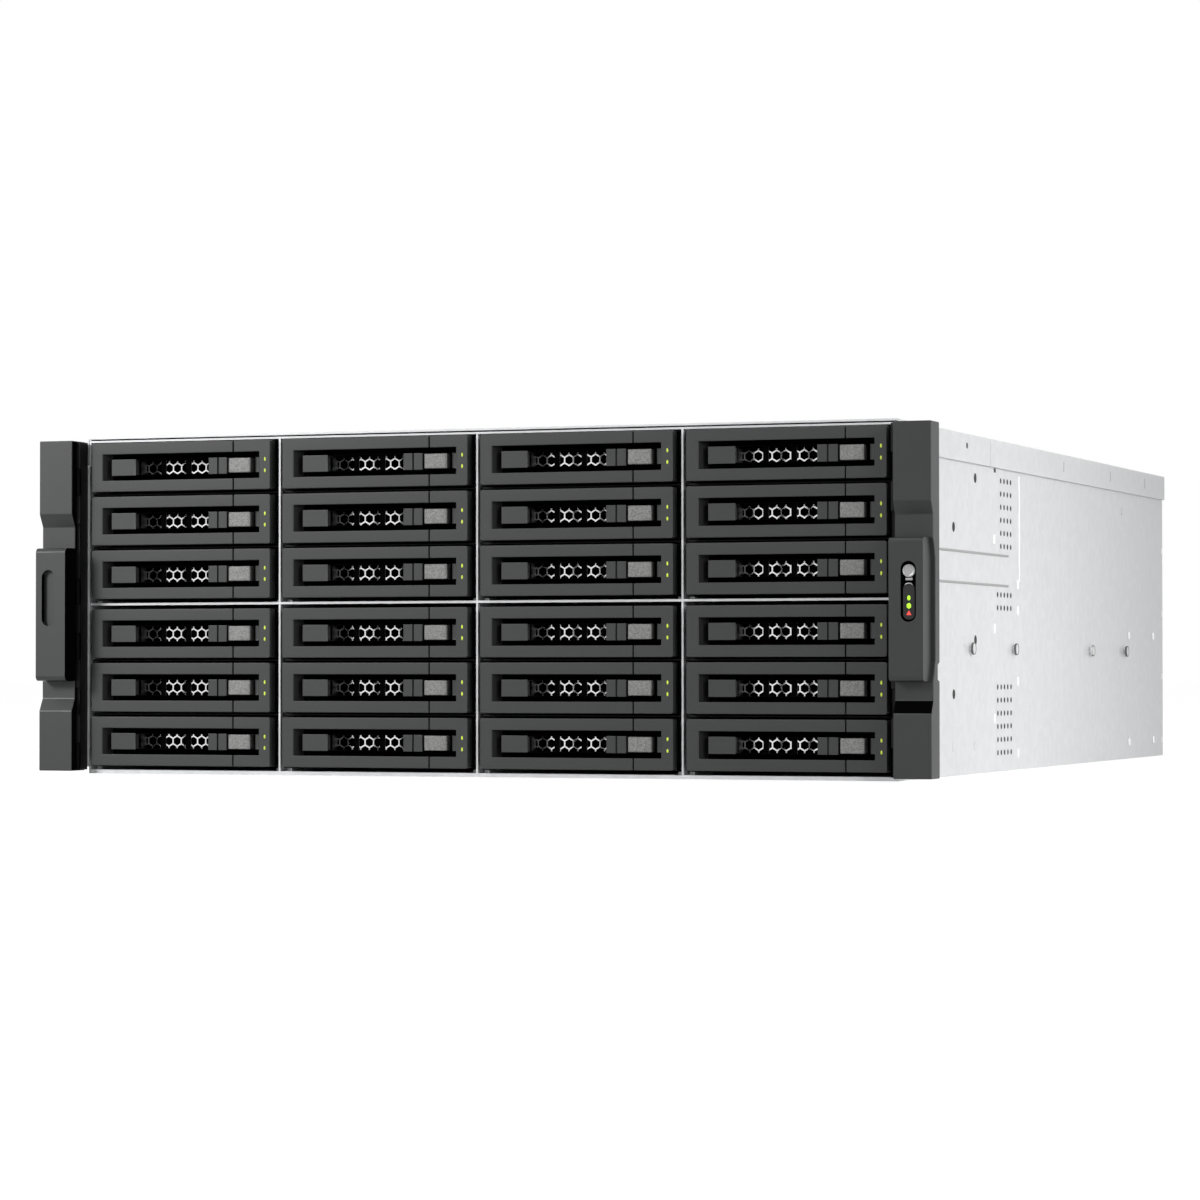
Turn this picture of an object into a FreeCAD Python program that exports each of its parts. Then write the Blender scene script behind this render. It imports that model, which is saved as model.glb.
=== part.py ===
"""Disk shelf enclosure: a 4U rack chassis with 24 drive trays in four columns and six rows.

Frame: +X to the right seen from the front, +Y to the rear, +Z up, in millimetres.
The origin is under the middle of the whole shelf, handles and supply grips included.
Formulas are written over the aliases of the sheet "dims". In them, y is measured from
the front plane, where the steel of the cage ends, and place() moves each finished piece.
"""
import FreeCAD, Part
import os
import re
import Sketcher

COLUMNS = 4
ROWS_IN_HALF = 3
BLADES = 7
SUPPLY_VENTS = 6
GRILLE_STEPS = 4   # grille slots on each side of a fan's middle slot
# air slots in a side wall: lowest row, rows, first column, columns
VENT_GROUPS = (("upper_vents", 6, 1, 4), ("middle_vents", 2, 0, 5), ("lower_vents", 6, 0, 5))

DIMS = {
    # overall steelwork
    "cell_pitch": 109.83,      # spacing of the columns of drives
    "side_margin": 0.24,       # from the outer cell line to the outside of the side wall
    "bottom_margin": 4.3,      # from the underside to the lowest bezels
    "top_margin": 3.4,         # from the highest bezels to the top of the covers
    "body_depth": 602.7,       # front plane to the outside of the rear panel
    "steel": 1.0,              # chassis sheet
    "cover_steel": 1.0,        # cover sheet
    "cover_lip": 14.9,         # how far the covers reach down the sides
    "cover_gap": 0.3,          # play between covers and chassis
    "cover_seam": 173.2,       # where the front cover meets the rear lid
    "seam_gap": 0.6,
    "over": 1.0,               # how far a cutting tool runs past what it cuts
    "flange_width": 9.0,       # bent flange along the top of the side walls
    # drive cage
    "plug_length": 16.7,       # backplane plug, from the backplane to the disk
    "cage_steel": 1.0,
    "middle_steel": 1.2,       # the shelf at half height
    "shelf_steel": 0.8,        # the shelves between the other rows
    "shelf_setback": 4.0,      # their front edges, behind the front plane
    "roof_gap": 0.5,           # from the cage's roof to the top of the side walls
    "row_gap": 2.5,
    "middle_gap": 5.3,
    "runner_width": 2.6,
    "runner_start": 6.0,
    "run_gap": 0.3,            # play under the tray rails
    # disk
    "disk_width": 101.6,
    "disk_length": 147.0,
    "disk_height": 26.1,
    "disk_front": 14.0,
    "disk_drop": 0.3,          # the disk hangs this far below the bezel's bottom
    "disk_cover": 0.8,
    "disk_rim": 3.0,
    # tray
    "bezel_width": 103.0,
    "bezel_height": 25.5,
    "bezel_reach": 4.5,        # bezel face, ahead of the front plane
    "bezel_corner": 0.7,
    "seam_at": 82.0,           # lever end and fixed bezel meet here, from the bezel's left
    "tray_seam": 0.6,
    "rail_thick": 2.2,
    "rail_height": 17.5,
    "rail_clear": 6.0,         # from the rail ends to the backplane
    "wall_front": 2.2,         # front of the carrier's cross wall
    "wall_thick": 3.0,
    "wall_margin": 0.2,
    "recess_left": 6.3,        # finger recess in the bezel
    "recess_right": 96.7,
    "recess_bottom": 5.9,
    "recess_top": 19.5,
    "strip_left": 11.2,        # raised strip with the air windows
    "strip_right": 77.9,
    "strip_bottom": 8.3,
    "strip_top": 16.9,
    "strip_inset": 1.0,        # strip face, behind the bezel face
    "strip_back": 9.0,
    "strip_rim": 0.8,
    "window_one": 25.4,
    "window_one_width": 13.5,
    "window_two": 41.9,
    "window_two_width": 11.5,
    "window_three": 56.4,
    "window_three_width": 11.0,
    "groove_at": 72.4,
    "groove_width": 0.8,
    "groove_depth": 1.2,
    "mesh_thick": 0.8,
    "mesh_border": 2.0,
    "button_left": 78.8,
    "button_right": 91.2,
    "button_bottom": 8.9,
    "button_top": 16.5,
    "button_inset": 0.9,
    "block_left": 94.4,
    # lever and its hinge
    "lever_depth": 5.4,
    "lever_wall": 1.2,
    "slope_run": 4.1,
    "hinge_inset": 2.6,        # hinge axis, from the bezel's left
    "hinge_back": 3.7,         # hinge axis, behind the bezel face
    "pin_radius": 1.0,
    "pin_play": 0.05,
    "lug_half": 1.3,
    "lug_play": 0.6,           # above and below the lug
    "pin_reach": 3.4,          # pin beyond each end of the lug
    "knuckle_cut": 1.8,
    # ears
    "ear_gap": 2.3,            # from the side wall to the ear
    "ear_width": 19.1,
    "ear_reach": 15.0,
    "handle_reach": 22.5,
    "ear_bottom": 1.5,
    "ear_top": 173.7,
    "handle_bottom": 48.4,
    "handle_top": 117.5,
    "hollow_reach": 11.5,      # where the ear steps back above and below the handle
    "hollow_height": 9.2,
    "hollow_extra": 2.1,       # the upper hollow is this much taller
    "slope_height": 6.5,
    "waist_reach": 7.5,        # flank beside the handle
    "waist_run": 10.0,         # height over which the flank curves in to its waist
    "waist_bend": 3.5,         # height at which it is half way in
    "handle_inset": 2.0,       # handle's outer side, inside the flank
    "ear_round": 1.2,
    "handle_round": 2.6,
    "notch_bottom": 44.2,      # notch in the rear edge of the flank
    "notch_height": 13.6,
    "notch_depth": 3.2,
    "notch_slope": 5.0,
    "notch_rise": 1.5,
    "slot_offset": 9.8,        # slot's middle, from the ear's inner side
    "slot_width": 7.6,
    "slot_bottom": 76.9,
    "slot_top": 106.1,
    "slot_depth": 9.0,
    "control_depth": 1.6,
    "rack_steel": 1.5,
    "rack_reach": 17.6,        # bent steel flange behind the ear
    "rack_margin": 3.5,
    "power_radius": 3.1,
    "power_play": 0.1,
    "power_drop": 4.7,         # button centre below the top of the slot
    "power_proud": 0.6,
    "power_length": 8.0,
    "power_travel_room": 2.0,
    # side wall details
    "vent_long": 4.0,
    "vent_short": 1.8,
    "vent_step": 7.0,
    "vent_rise": 6.98,
    "vent_start": 192.0,
    "upper_vents": 119.8,      # lowest row of the upper group
    "middle_vents": 86.9,
    "lower_vents": 9.9,
    "stud_radius": 3.0,
    "stud_reach": 2.4,
    "stud_neck": 1.8,
    "stud_height": 65.0,
    "stud_middle": 314.4,
    "stud_near": 89.3,
    "stud_far": 178.6,
    "fix_radius": 2.25,
    "fix_front": 104.0,
    "fix_front_low": 41.5,
    "fix_front_high": 126.9,
    "fix_back": 146.8,
    "fix_back_low": 69.4,
    "fix_back_high": 153.8,
    # boards
    "board_thick": 2.4,
    "board_margin": 8.0,
    "plug_width": 40.0,
    "plug_height": 8.0,
    "plug_gap": 0.3,
    "air_slot_width": 60.0,
    "air_slot_height": 9.0,
    "io_board_width": 150.0,
    "io_board_length": 150.0,
    "io_gap": 2.0,             # from the interface board to the rear panel
    "post_height": 7.0,
    "io_thick": 1.6,
    "post_radius": 3.0,
    "port_wall": 1.0,
    "port_depth": 18.0,
    "port_proud": 1.2,
    "sas_width": 34.0,
    "sas_height": 12.0,
    "net_width": 16.0,
    "net_height": 13.5,
    "port_spacing": 44.0,
    "port_play": 0.4,
    # power supplies
    "psu_width": 73.5,
    "psu_height": 40.0,
    "psu_length": 185.0,
    "psu_edge": 43.66,         # from the outer cell line to the supply's middle
    "psu_play": 0.5,
    "grip_reach": 26.0,        # supply grip, behind the rear panel
    "grip_bar": 5.0,
    "grip_width": 44.0,
    "grip_z": 28.0,
    "inlet_width": 27.5,
    "inlet_height": 20.0,
    "inlet_depth": 16.0,
    "inlet_offset": 17.0,
    "inlet_bottom": 4.5,
    "psu_vent_width": 2.6,
    "psu_vent_height": 17.0,
    "psu_vent_step": 5.2,
    "psu_vent_depth": 3.0,
    # fans
    "fan_size": 92.0,
    "fan_depth": 25.4,
    "fan_bore": 43.5,
    "fan_middle": 50.0,
    "fan_height": 112.0,
    "fan_spoke": 5.0,
    "spoke_thick": 3.0,
    "rotor_play": 0.5,
    "motor_radius": 17.0,
    "hub_radius": 19.0,
    "blade_radius": 41.8,
    "blade_root": 3.0,         # how far a blade reaches into the hub
    "blade_start": 2.0,        # blades start this far behind the hub's front
    "blade_thick": 1.4,
    "blade_depth": 17.0,
    "grille_slot": 6.0,
    "grille_bar": 3.0,
}

doc = FreeCAD.newDocument("disk_shelf")
sheet = doc.addObject("Spreadsheet::Sheet", "dims")
for row, (alias, number) in enumerate(DIMS.items(), start=1):
    sheet.set(f"A{row}", alias)
    sheet.set(f"B{row}", str(number))
    sheet.setAlias(f"B{row}", alias)
doc.recompute()


# ---- formulas and small builders ----

def formula(text):
    """The same formula with each alias written as a cell of the sheet."""
    return re.sub(r"[a-z]\w*", lambda word: "dims." + word[0] if word[0] in DIMS else word[0], text)


def value(text):
    """The number that a formula gives now."""
    return float(sheet.evalExpression(formula(text)))


def bind(piece, prop, text):
    piece.setExpression(prop, formula(text))


def place(piece, x="0", y="0", z="0"):
    for axis, text in (("x", x), ("y", y), ("z", z)):
        bind(piece, f"Placement.Base.{axis}", text)
    return piece


def box(x, y, z, name="Box"):
    """A box from three (low, high) pairs of formulas."""
    piece = doc.addObject("Part::Box", name)
    for prop, (low, high) in (("Length", x), ("Width", y), ("Height", z)):
        bind(piece, prop, f"({high}) - ({low})")
    return place(piece, x[0], y[0], z[0])


TURNS = {"X": (FreeCAD.Vector(0, 1, 0), 90), "Y": (FreeCAD.Vector(1, 0, 0), -90),
         "Z": (FreeCAD.Vector(0, 0, 1), 0)}


def cylinder(axis, radius, x, y, z, length, name="Cylinder"):
    """A cylinder from a start point along +X, +Y or +Z."""
    piece = doc.addObject("Part::Cylinder", name)
    piece.Placement = FreeCAD.Placement(FreeCAD.Vector(), FreeCAD.Rotation(*TURNS[axis]))
    bind(piece, "Radius", radius)
    bind(piece, "Height", length)
    return place(piece, x, y, z)


def prism(axis, sides, radius, x, y, z, length, name="Prism"):
    """A regular prism from a start point along +X, +Y or +Z."""
    piece = doc.addObject("Part::Prism", name)
    piece.Polygon = sides
    piece.Placement = FreeCAD.Placement(FreeCAD.Vector(), FreeCAD.Rotation(*TURNS[axis]))
    bind(piece, "Circumradius", radius)
    bind(piece, "Height", length)
    return place(piece, x, y, z)


def fuse(pieces, name="Fuse"):
    piece = doc.addObject("Part::MultiFuse", name)
    piece.Shapes = pieces
    piece.Refine = True
    return piece


def cut(base, tools, name="Cut"):
    piece = doc.addObject("Part::Cut", name)
    piece.Base = base
    piece.Tool = tools[0] if len(tools) == 1 else fuse(tools, name + "Tools")
    piece.Refine = True
    return piece


def group(pieces, name):
    """Separate solids that one node carries."""
    piece = doc.addObject("Part::Compound", name)
    piece.Links = pieces
    return piece


def outline(body, plane, corners, start="0"):
    """A closed sketch on one of the body's own planes, held by its corners' formulas."""
    sketch = body.newObject("Sketcher::SketchObject", "Outline")
    support = next(item for item in body.Origin.OriginFeatures if item.Role == plane)
    sketch.AttachmentSupport = [(support, "")]
    sketch.MapMode = "FlatFace"
    bind(sketch, "AttachmentOffset.Base.z", start)
    spots = [FreeCAD.Vector(value(x), value(y), 0) for x, y in corners]
    for number, spot in enumerate(spots):
        sketch.addGeometry(Part.LineSegment(spot, spots[(number + 1) % len(spots)]))
    for number, (x, y) in enumerate(corners):
        after = (number + 1) % len(corners)
        sketch.addConstraint(Sketcher.Constraint("Coincident", number, 2, after, 1))
        for kind, text in (("DistanceX", x), ("DistanceY", y)):
            rule = Sketcher.Constraint(kind, -1, 1, number, 1, value(text))
            bind(sketch, f"Constraints[{sketch.addConstraint(rule)}]", text)
    return sketch


def rectangle(x, y):
    return [(x[0], y[0]), (x[1], y[0]), (x[1], y[1]), (x[0], y[1])]


def pad(body, plane, corners, start, length):
    feature = body.newObject("PartDesign::Pad", "Pad")
    feature.Profile = outline(body, plane, corners, start)
    bind(feature, "Length", length)
    return feature


def pocket(body, plane, corners, start, length):
    """A cut that starts at the sketch and runs against the plane's normal."""
    feature = body.newObject("PartDesign::Pocket", "Pocket")
    feature.Profile = outline(body, plane, corners, start)
    bind(feature, "Length", length)
    return feature


def rounded(body, radius, chosen):
    """Fillets on the edges of the body's tip that chosen(edge) picks."""
    doc.recompute()
    tip = body.Tip
    names = [f"Edge{number}" for number, edge in enumerate(tip.Shape.Edges, start=1) if chosen(edge)]
    feature = body.newObject("PartDesign::Fillet", "Fillet")
    feature.Base = (tip, names)
    bind(feature, "Radius", radius)
    return feature


def runs_along(edge, axis):
    """Whether a straight edge lies along axis 0, 1 or 2."""
    if edge.Curve.TypeId != "Part::GeomLine":
        return False
    return abs(abs(edge.tangentAt(edge.FirstParameter)[axis]) - 1) < 1e-6


def near(number, text):
    return abs(number - value(text)) < 0.01


# ---- places worked out from the driving sizes ----

ROW_PITCH = "(bezel_height + row_gap)"
UPPER_Z = "(bottom_margin + 3 * bezel_height + 2 * row_gap + middle_gap)"
BODY_TOP = f"({UPPER_Z} + 3 * bezel_height + 2 * row_gap + top_margin)"
WALL_OUT = "(2 * cell_pitch + side_margin)"
WALL_IN = f"({WALL_OUT} - steel)"
WALL_TOP = f"({BODY_TOP} - cover_steel - cover_gap)"
CAGE_DEPTH = "(disk_front + disk_length + plug_gap + plug_length)"
RAIL_END = f"({CAGE_DEPTH} - rail_clear)"
EAR_IN = f"({WALL_OUT} + ear_gap)"
EAR_OUT = f"({EAR_IN} + ear_width)"
SLOT_X = f"({EAR_IN} + slot_offset)"
RACK_TOP = f"({BODY_TOP} - cover_lip - cover_gap)"
BOARD_Z = "(steel + post_height)"
FRONT_Y = "((handle_reach - body_depth - grip_reach) / 2)"
HINGE_Y = "(hinge_back - bezel_reach)"
RAIL_BOTTOM = "(run_gap + shelf_steel / 2 - row_gap / 2)"
PANEL_IN = "(body_depth - steel)"
PSU_X = "(2 * cell_pitch - psu_edge)"
GRILLE_PITCH = "(grille_slot + grille_bar)"
HALVES = ("bottom_margin", UPPER_Z)


def row_z(row):
    """Formula for the bottom of a row's bezels; rows count from the bottom."""
    half, step = divmod(row, ROWS_IN_HALF)
    return f"({HALVES[half]} + {step} * {ROW_PITCH})"


def column_x(column):
    """Formula for the left edge of a column's bezels."""
    return f"(({column} - 1.5) * cell_pitch - bezel_width / 2)"


# ---- chassis ----

def across(side, near_x, far_x):
    """The (low, high) pair of x formulas between two distances on one side."""
    return sorted((f"{side} * ({near_x})", f"{side} * ({far_x})"), key=value)


def side_cuts(side):
    """Air slots and fixing holes in one side wall; side is 1 on the right and -1 on the left."""
    wall = across(side, f"{WALL_IN} - over", f"{WALL_OUT} + over")
    tools = []
    for base, rows, first, columns in VENT_GROUPS:
        for row in range(rows):
            for column in range(first, first + columns):
                y = f"vent_start + {column} * vent_step"
                z = f"{base} + {row} * vent_rise"
                tools.append(box(wall, (f"{y} - vent_short / 2", f"{y} + vent_short / 2"),
                                 (f"{z} - vent_long / 2", f"{z} + vent_long / 2"), "Vent"))
    for y, z in (("fix_front", "fix_front_low"), ("fix_front", "fix_front_high"),
                 ("fix_back", "fix_back_low"), ("fix_back", "fix_back_high")):
        tools.append(cylinder("X", "fix_radius", wall[0], y, z, "steel + 2 * over", "FixHole"))
    return tools


def rail_studs(side):
    """Headed studs that hang the shelf on its rack rails: six-sided necks and round heads."""
    studs = []
    for step in ("- stud_far", "- stud_near", "+ stud_near", "+ stud_far"):
        y = f"stud_middle {step}"
        neck = across(side, WALL_OUT, f"{WALL_OUT} + stud_reach / 2")[0]
        head = across(side, f"{WALL_OUT} + stud_reach / 2", f"{WALL_OUT} + stud_reach")[0]
        studs.append(prism("X", 6, "stud_neck", neck, y, "stud_height", "stud_reach / 2", "Neck"))
        studs.append(cylinder("X", "stud_radius", head, y, "stud_height", "stud_reach / 2", "Head"))
    return studs


def fan_grille(side):
    """Upright air slots whose ends follow a circle over one fan."""
    slots = []
    for step in range(-GRILLE_STEPS, GRILLE_STEPS + 1):
        x = f"({side} * fan_middle + {step} * {GRILLE_PITCH})"
        far_edge = f"({abs(step)} * {GRILLE_PITCH} + grille_slot / 2)"
        reach = f"sqrt(pow(fan_bore - over, 2) - pow({far_edge}, 2))"
        slots.append(box((f"{x} - grille_slot / 2", f"{x} + grille_slot / 2"),
                         (f"{PANEL_IN} - over", "body_depth + over"),
                         (f"fan_height - {reach}", f"fan_height + {reach}"), "GrilleSlot"))
    return slots


def make_chassis():
    """Folded pan with side walls, rack flanges, top flanges and the rear panel."""
    pan = doc.addObject("PartDesign::Body", "Pan")
    section = [(f"-{WALL_OUT}", "0"), (WALL_OUT, "0"), (WALL_OUT, WALL_TOP), (WALL_IN, WALL_TOP),
               (WALL_IN, "steel"), (f"-{WALL_IN}", "steel"), (f"-{WALL_IN}", WALL_TOP),
               (f"-{WALL_OUT}", WALL_TOP)]
    pad(pan, "XZ_Plane", section, "-body_depth", "body_depth")
    panel = box((f"-{WALL_IN}", WALL_IN), (PANEL_IN, "body_depth"), ("steel", WALL_TOP), "Panel")
    added = [pan, panel]
    cuts = []
    for side in (-1, 1):
        added.append(box(across(side, WALL_IN, f"{WALL_OUT} + rack_reach"), ("-rack_steel", "0"),
                         ("rack_margin", RACK_TOP), "RackFlange"))
        added.append(box(across(side, f"{WALL_OUT} - flange_width", WALL_IN),
                         (f"{CAGE_DEPTH} + board_thick", PANEL_IN),
                         (f"{WALL_TOP} - steel", WALL_TOP), "TopFlange"))
        added += rail_studs(side)
        cuts += side_cuts(side) + fan_grille(side)
        x = f"{side} * {PSU_X}"
        cuts.append(box((f"{x} - psu_width / 2 - psu_play", f"{x} + psu_width / 2 + psu_play"),
                        (f"{PANEL_IN} - over", "body_depth + over"),
                        ("steel", "steel + run_gap + psu_height + psu_play"), "SupplyBay"))
    for x, z, width, height in port_places():
        cuts.append(box((f"{x} - {width} / 2 - port_play", f"{x} + {width} / 2 + port_play"),
                        (f"{PANEL_IN} - over", "body_depth + over"),
                        (f"{z} - port_play", f"{z} + {height} + port_play"), "PortHole"))
    return cut(fuse(added, "Shell"), cuts, "Chassis")


def make_cage():
    """Four columns of cells: floor, roof, middle shelf, dividers, shelves and tray runners."""
    depth = ("0", CAGE_DEPTH)
    wide = (f"-{WALL_IN}", WALL_IN)
    roof = f"({WALL_TOP} - roof_gap - cage_steel)"
    middle = f"({UPPER_Z} - middle_gap / 2)"
    plates = [
        box(wide, depth, ("steel", "steel + cage_steel"), "CageFloor"),
        box(wide, depth, (roof, f"{roof} + cage_steel"), "CageRoof"),
        box(wide, depth, (f"{middle} - middle_steel / 2", f"{middle} + middle_steel / 2"), "MiddleShelf"),
    ]
    for divider in range(1, COLUMNS):
        x = f"({divider} - 2) * cell_pitch"
        plates.append(box((f"{x} - cage_steel / 2", f"{x} + cage_steel / 2"), depth,
                          ("steel", f"{roof} + cage_steel"), "Divider"))
    for row in (1, 2, 4, 5):
        z = f"({row_z(row)} - row_gap / 2)"
        plates.append(box(wide, ("shelf_setback", CAGE_DEPTH),
                          (f"{z} - shelf_steel / 2", f"{z} + shelf_steel / 2"), "Shelf"))
    for row, under in ((0, "steel + cage_steel"), (ROWS_IN_HALF, f"{middle} + middle_steel / 2")):
        top = f"{row_z(row)} + {RAIL_BOTTOM} - run_gap"
        for column in range(COLUMNS):
            for side in (-1, 1):
                x = f"(({column} - 1.5) * cell_pitch + {side} * (disk_width + rail_thick) / 2)"
                plates.append(box((f"{x} - runner_width / 2", f"{x} + runner_width / 2"),
                                  ("runner_start", RAIL_END), (under, top), "Runner"))
    return fuse(plates, "Cage")


def make_covers():
    """Front cover and rear lid, each folded down over the side walls."""
    covers = []
    out = f"({WALL_OUT} + cover_gap + cover_steel)"
    inn = f"({WALL_OUT} + cover_gap)"
    low = f"({BODY_TOP} - cover_lip)"
    under = f"({BODY_TOP} - cover_steel)"
    section = [(f"-{out}", low), (f"-{inn}", low), (f"-{inn}", under), (inn, under), (inn, low),
               (out, low), (out, BODY_TOP), (f"-{out}", BODY_TOP)]
    spans = (("FrontCover", "0", "cover_seam - seam_gap / 2"),
             ("RearLid", "cover_seam + seam_gap / 2", "body_depth + cover_steel"))
    for name, start, end in spans:
        cover = doc.addObject("PartDesign::Body", name)
        pad(cover, "XZ_Plane", section, f"-({end})", f"({end}) - ({start})")
        rounded(cover, "cover_steel", lambda edge: runs_along(edge, 1)
                and near(edge.CenterOfMass.z, BODY_TOP))
        covers.append(cover)
    return group(covers, "Covers")


# ---- ears ----

def flank_outline():
    """Side view of an ear without its handle: (y, z) corners from the bottom rear, up the front."""
    reach, hollow, waist = "-ear_reach", "-hollow_reach", "-waist_reach"
    low_step = "(handle_bottom - hollow_height)"
    high_step = "(handle_top + hollow_height + hollow_extra)"
    notch_top = "(notch_bottom + notch_height)"
    half_way = "-(hollow_reach + waist_reach) / 2"
    return [("0", "ear_bottom"), (reach, "ear_bottom"), (reach, f"{low_step} - slope_height"),
            (hollow, low_step), (hollow, "handle_bottom"),
            (half_way, "handle_bottom + waist_bend"), (waist, "handle_bottom + waist_run"),
            (waist, "handle_top - waist_run"), (half_way, "handle_top - waist_bend"),
            (hollow, "handle_top"), (hollow, high_step), (reach, f"{high_step} + slope_height"),
            (reach, "ear_top"), ("0", "ear_top"), ("0", notch_top),
            ("-notch_depth", f"{notch_top} - notch_rise"), ("-notch_depth", "notch_bottom + notch_slope"),
            ("0", "notch_bottom")]


def make_ear(side, name):
    """Moulded ear over the rack flange: flank, handle block and a rounded slot in the handle."""
    flank = doc.addObject("PartDesign::Body", name + "Flank")
    pad(flank, "YZ_Plane", flank_outline(), across(side, EAR_IN, EAR_OUT)[0], "ear_width")
    rounded(flank, "ear_round", lambda edge: runs_along(edge, 2)
            and near(edge.CenterOfMass.x, f"{side} * {EAR_OUT}")
            and near(edge.CenterOfMass.y, "-ear_reach"))
    handle = doc.addObject("PartDesign::Body", name + "Handle")
    width = across(side, EAR_IN, f"{EAR_OUT} - handle_inset")
    front_and_back = ("-handle_reach", "-waist_reach / 2")
    pad(handle, "YZ_Plane", rectangle(front_and_back, ("handle_bottom", "handle_top")),
        width[0], "ear_width - handle_inset")
    rounded(handle, "handle_round", lambda edge: runs_along(edge, 0)
            and near(edge.CenterOfMass.y, "-handle_reach"))
    slot_x = f"{side} * {SLOT_X}"
    middle = "slot_width / 2"
    depth = "slot_depth" if side < 0 else "control_depth"
    start = "-handle_reach - over"
    cuts = [
        box((f"{slot_x} - {middle}", f"{slot_x} + {middle}"), (start, f"-handle_reach + {depth}"),
            (f"slot_bottom + {middle}", f"slot_top - {middle}"), "Slot"),
        cylinder("Y", middle, slot_x, start, f"slot_bottom + {middle}", f"{depth} + over"),
        cylinder("Y", middle, slot_x, start, f"slot_top - {middle}", f"{depth} + over"),
        box(across(side, f"{EAR_IN} - over", f"{WALL_OUT} + rack_reach + cover_gap"),
            ("-rack_steel - cover_gap", "over"),
            ("rack_margin - cover_gap", f"{RACK_TOP} + cover_gap"), "FlangeRoom"),
    ]
    if side > 0:
        room = "control_depth - power_proud + power_length + power_travel_room"
        cuts.append(cylinder("Y", "power_radius + power_play", slot_x, "-handle_reach",
                             "slot_top - power_drop", room, "ButtonBore"))
    return cut(fuse([flank, handle], name + "Solid"), cuts, name)


def make_power_button():
    return cylinder("Y", "power_radius", SLOT_X, "-handle_reach + control_depth - power_proud",
                    "slot_top - power_drop", "power_length", "PowerButton")


# ---- trays ----

def make_carrier():
    """Tray frame: cross wall, side rails, window strip, fixed bezel end, hinge lug and pin."""
    carrier = doc.addObject("PartDesign::Body", "Carrier")
    left = "(bezel_width / 2 - disk_width / 2)"
    right = "(bezel_width / 2 + disk_width / 2)"
    wide = (f"{left} - rail_thick", f"{right} + rail_thick")
    tall = ("wall_margin", "bezel_height - wall_margin")
    pad(carrier, "XZ_Plane", rectangle(wide, tall), "-(wall_front + wall_thick)", "wall_thick")
    strip = (("strip_left", "strip_right"), ("strip_bottom", "strip_top"))
    pad(carrier, "XZ_Plane", rectangle(*strip), "-strip_back", "strip_back + bezel_reach - strip_inset")
    start = "seam_at + tray_seam / 2"
    bevel = "bezel_corner"
    fixed = [(start, "0"), (f"bezel_width - {bevel}", "0"), ("bezel_width", bevel),
             ("bezel_width", f"bezel_height - {bevel}"), (f"bezel_width - {bevel}", "bezel_height"),
             (start, "bezel_height"), (start, "recess_top"), ("recess_right", "recess_top"),
             ("recess_right", "recess_bottom"), (start, "recess_bottom")]
    pad(carrier, "XZ_Plane", fixed, "-wall_front", "wall_front + bezel_reach")
    block = (("block_left", "recess_right"), ("button_bottom", "button_top"))
    pad(carrier, "XZ_Plane", rectangle(*block), "-wall_front", "wall_front + bezel_reach - button_inset")
    for start, width in (("window_one", "window_one_width"), ("window_two", "window_two_width"),
                         ("window_three", "window_three_width")):
        window = ((start, f"{start} + {width}"), ("strip_bottom + strip_rim", "strip_top - strip_rim"))
        pocket(carrier, "XZ_Plane", rectangle(*window), "bezel_reach", "bezel_reach + strip_back + over")
    groove = (("groove_at", "groove_at + groove_width"), ("strip_bottom - over", "strip_top + over"))
    pocket(carrier, "XZ_Plane", rectangle(*groove), "bezel_reach", "strip_inset + groove_depth")
    for x in ((f"{left} - rail_thick", left), (right, f"{right} + rail_thick")):
        rail = rectangle(x, (RAIL_BOTTOM, f"{RAIL_BOTTOM} + rail_height"))
        pad(carrier, "XZ_Plane", rail, f"-{RAIL_END}", f"{RAIL_END} - wall_front")
    lug_low, lug_high = "(recess_bottom + lug_play)", "(recess_top - lug_play)"
    lug = box(("hinge_inset - lug_half", "hinge_inset + lug_half"), (f"{HINGE_Y} - lug_half", "wall_front"),
              (lug_low, lug_high), "Lug")
    pin = prism("Z", 8, "pin_radius", "hinge_inset", HINGE_Y, f"{lug_low} - pin_reach",
                f"{lug_high} - {lug_low} + 2 * pin_reach", "Pin")
    return fuse([carrier, lug, pin], "CarrierWithPin")


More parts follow.
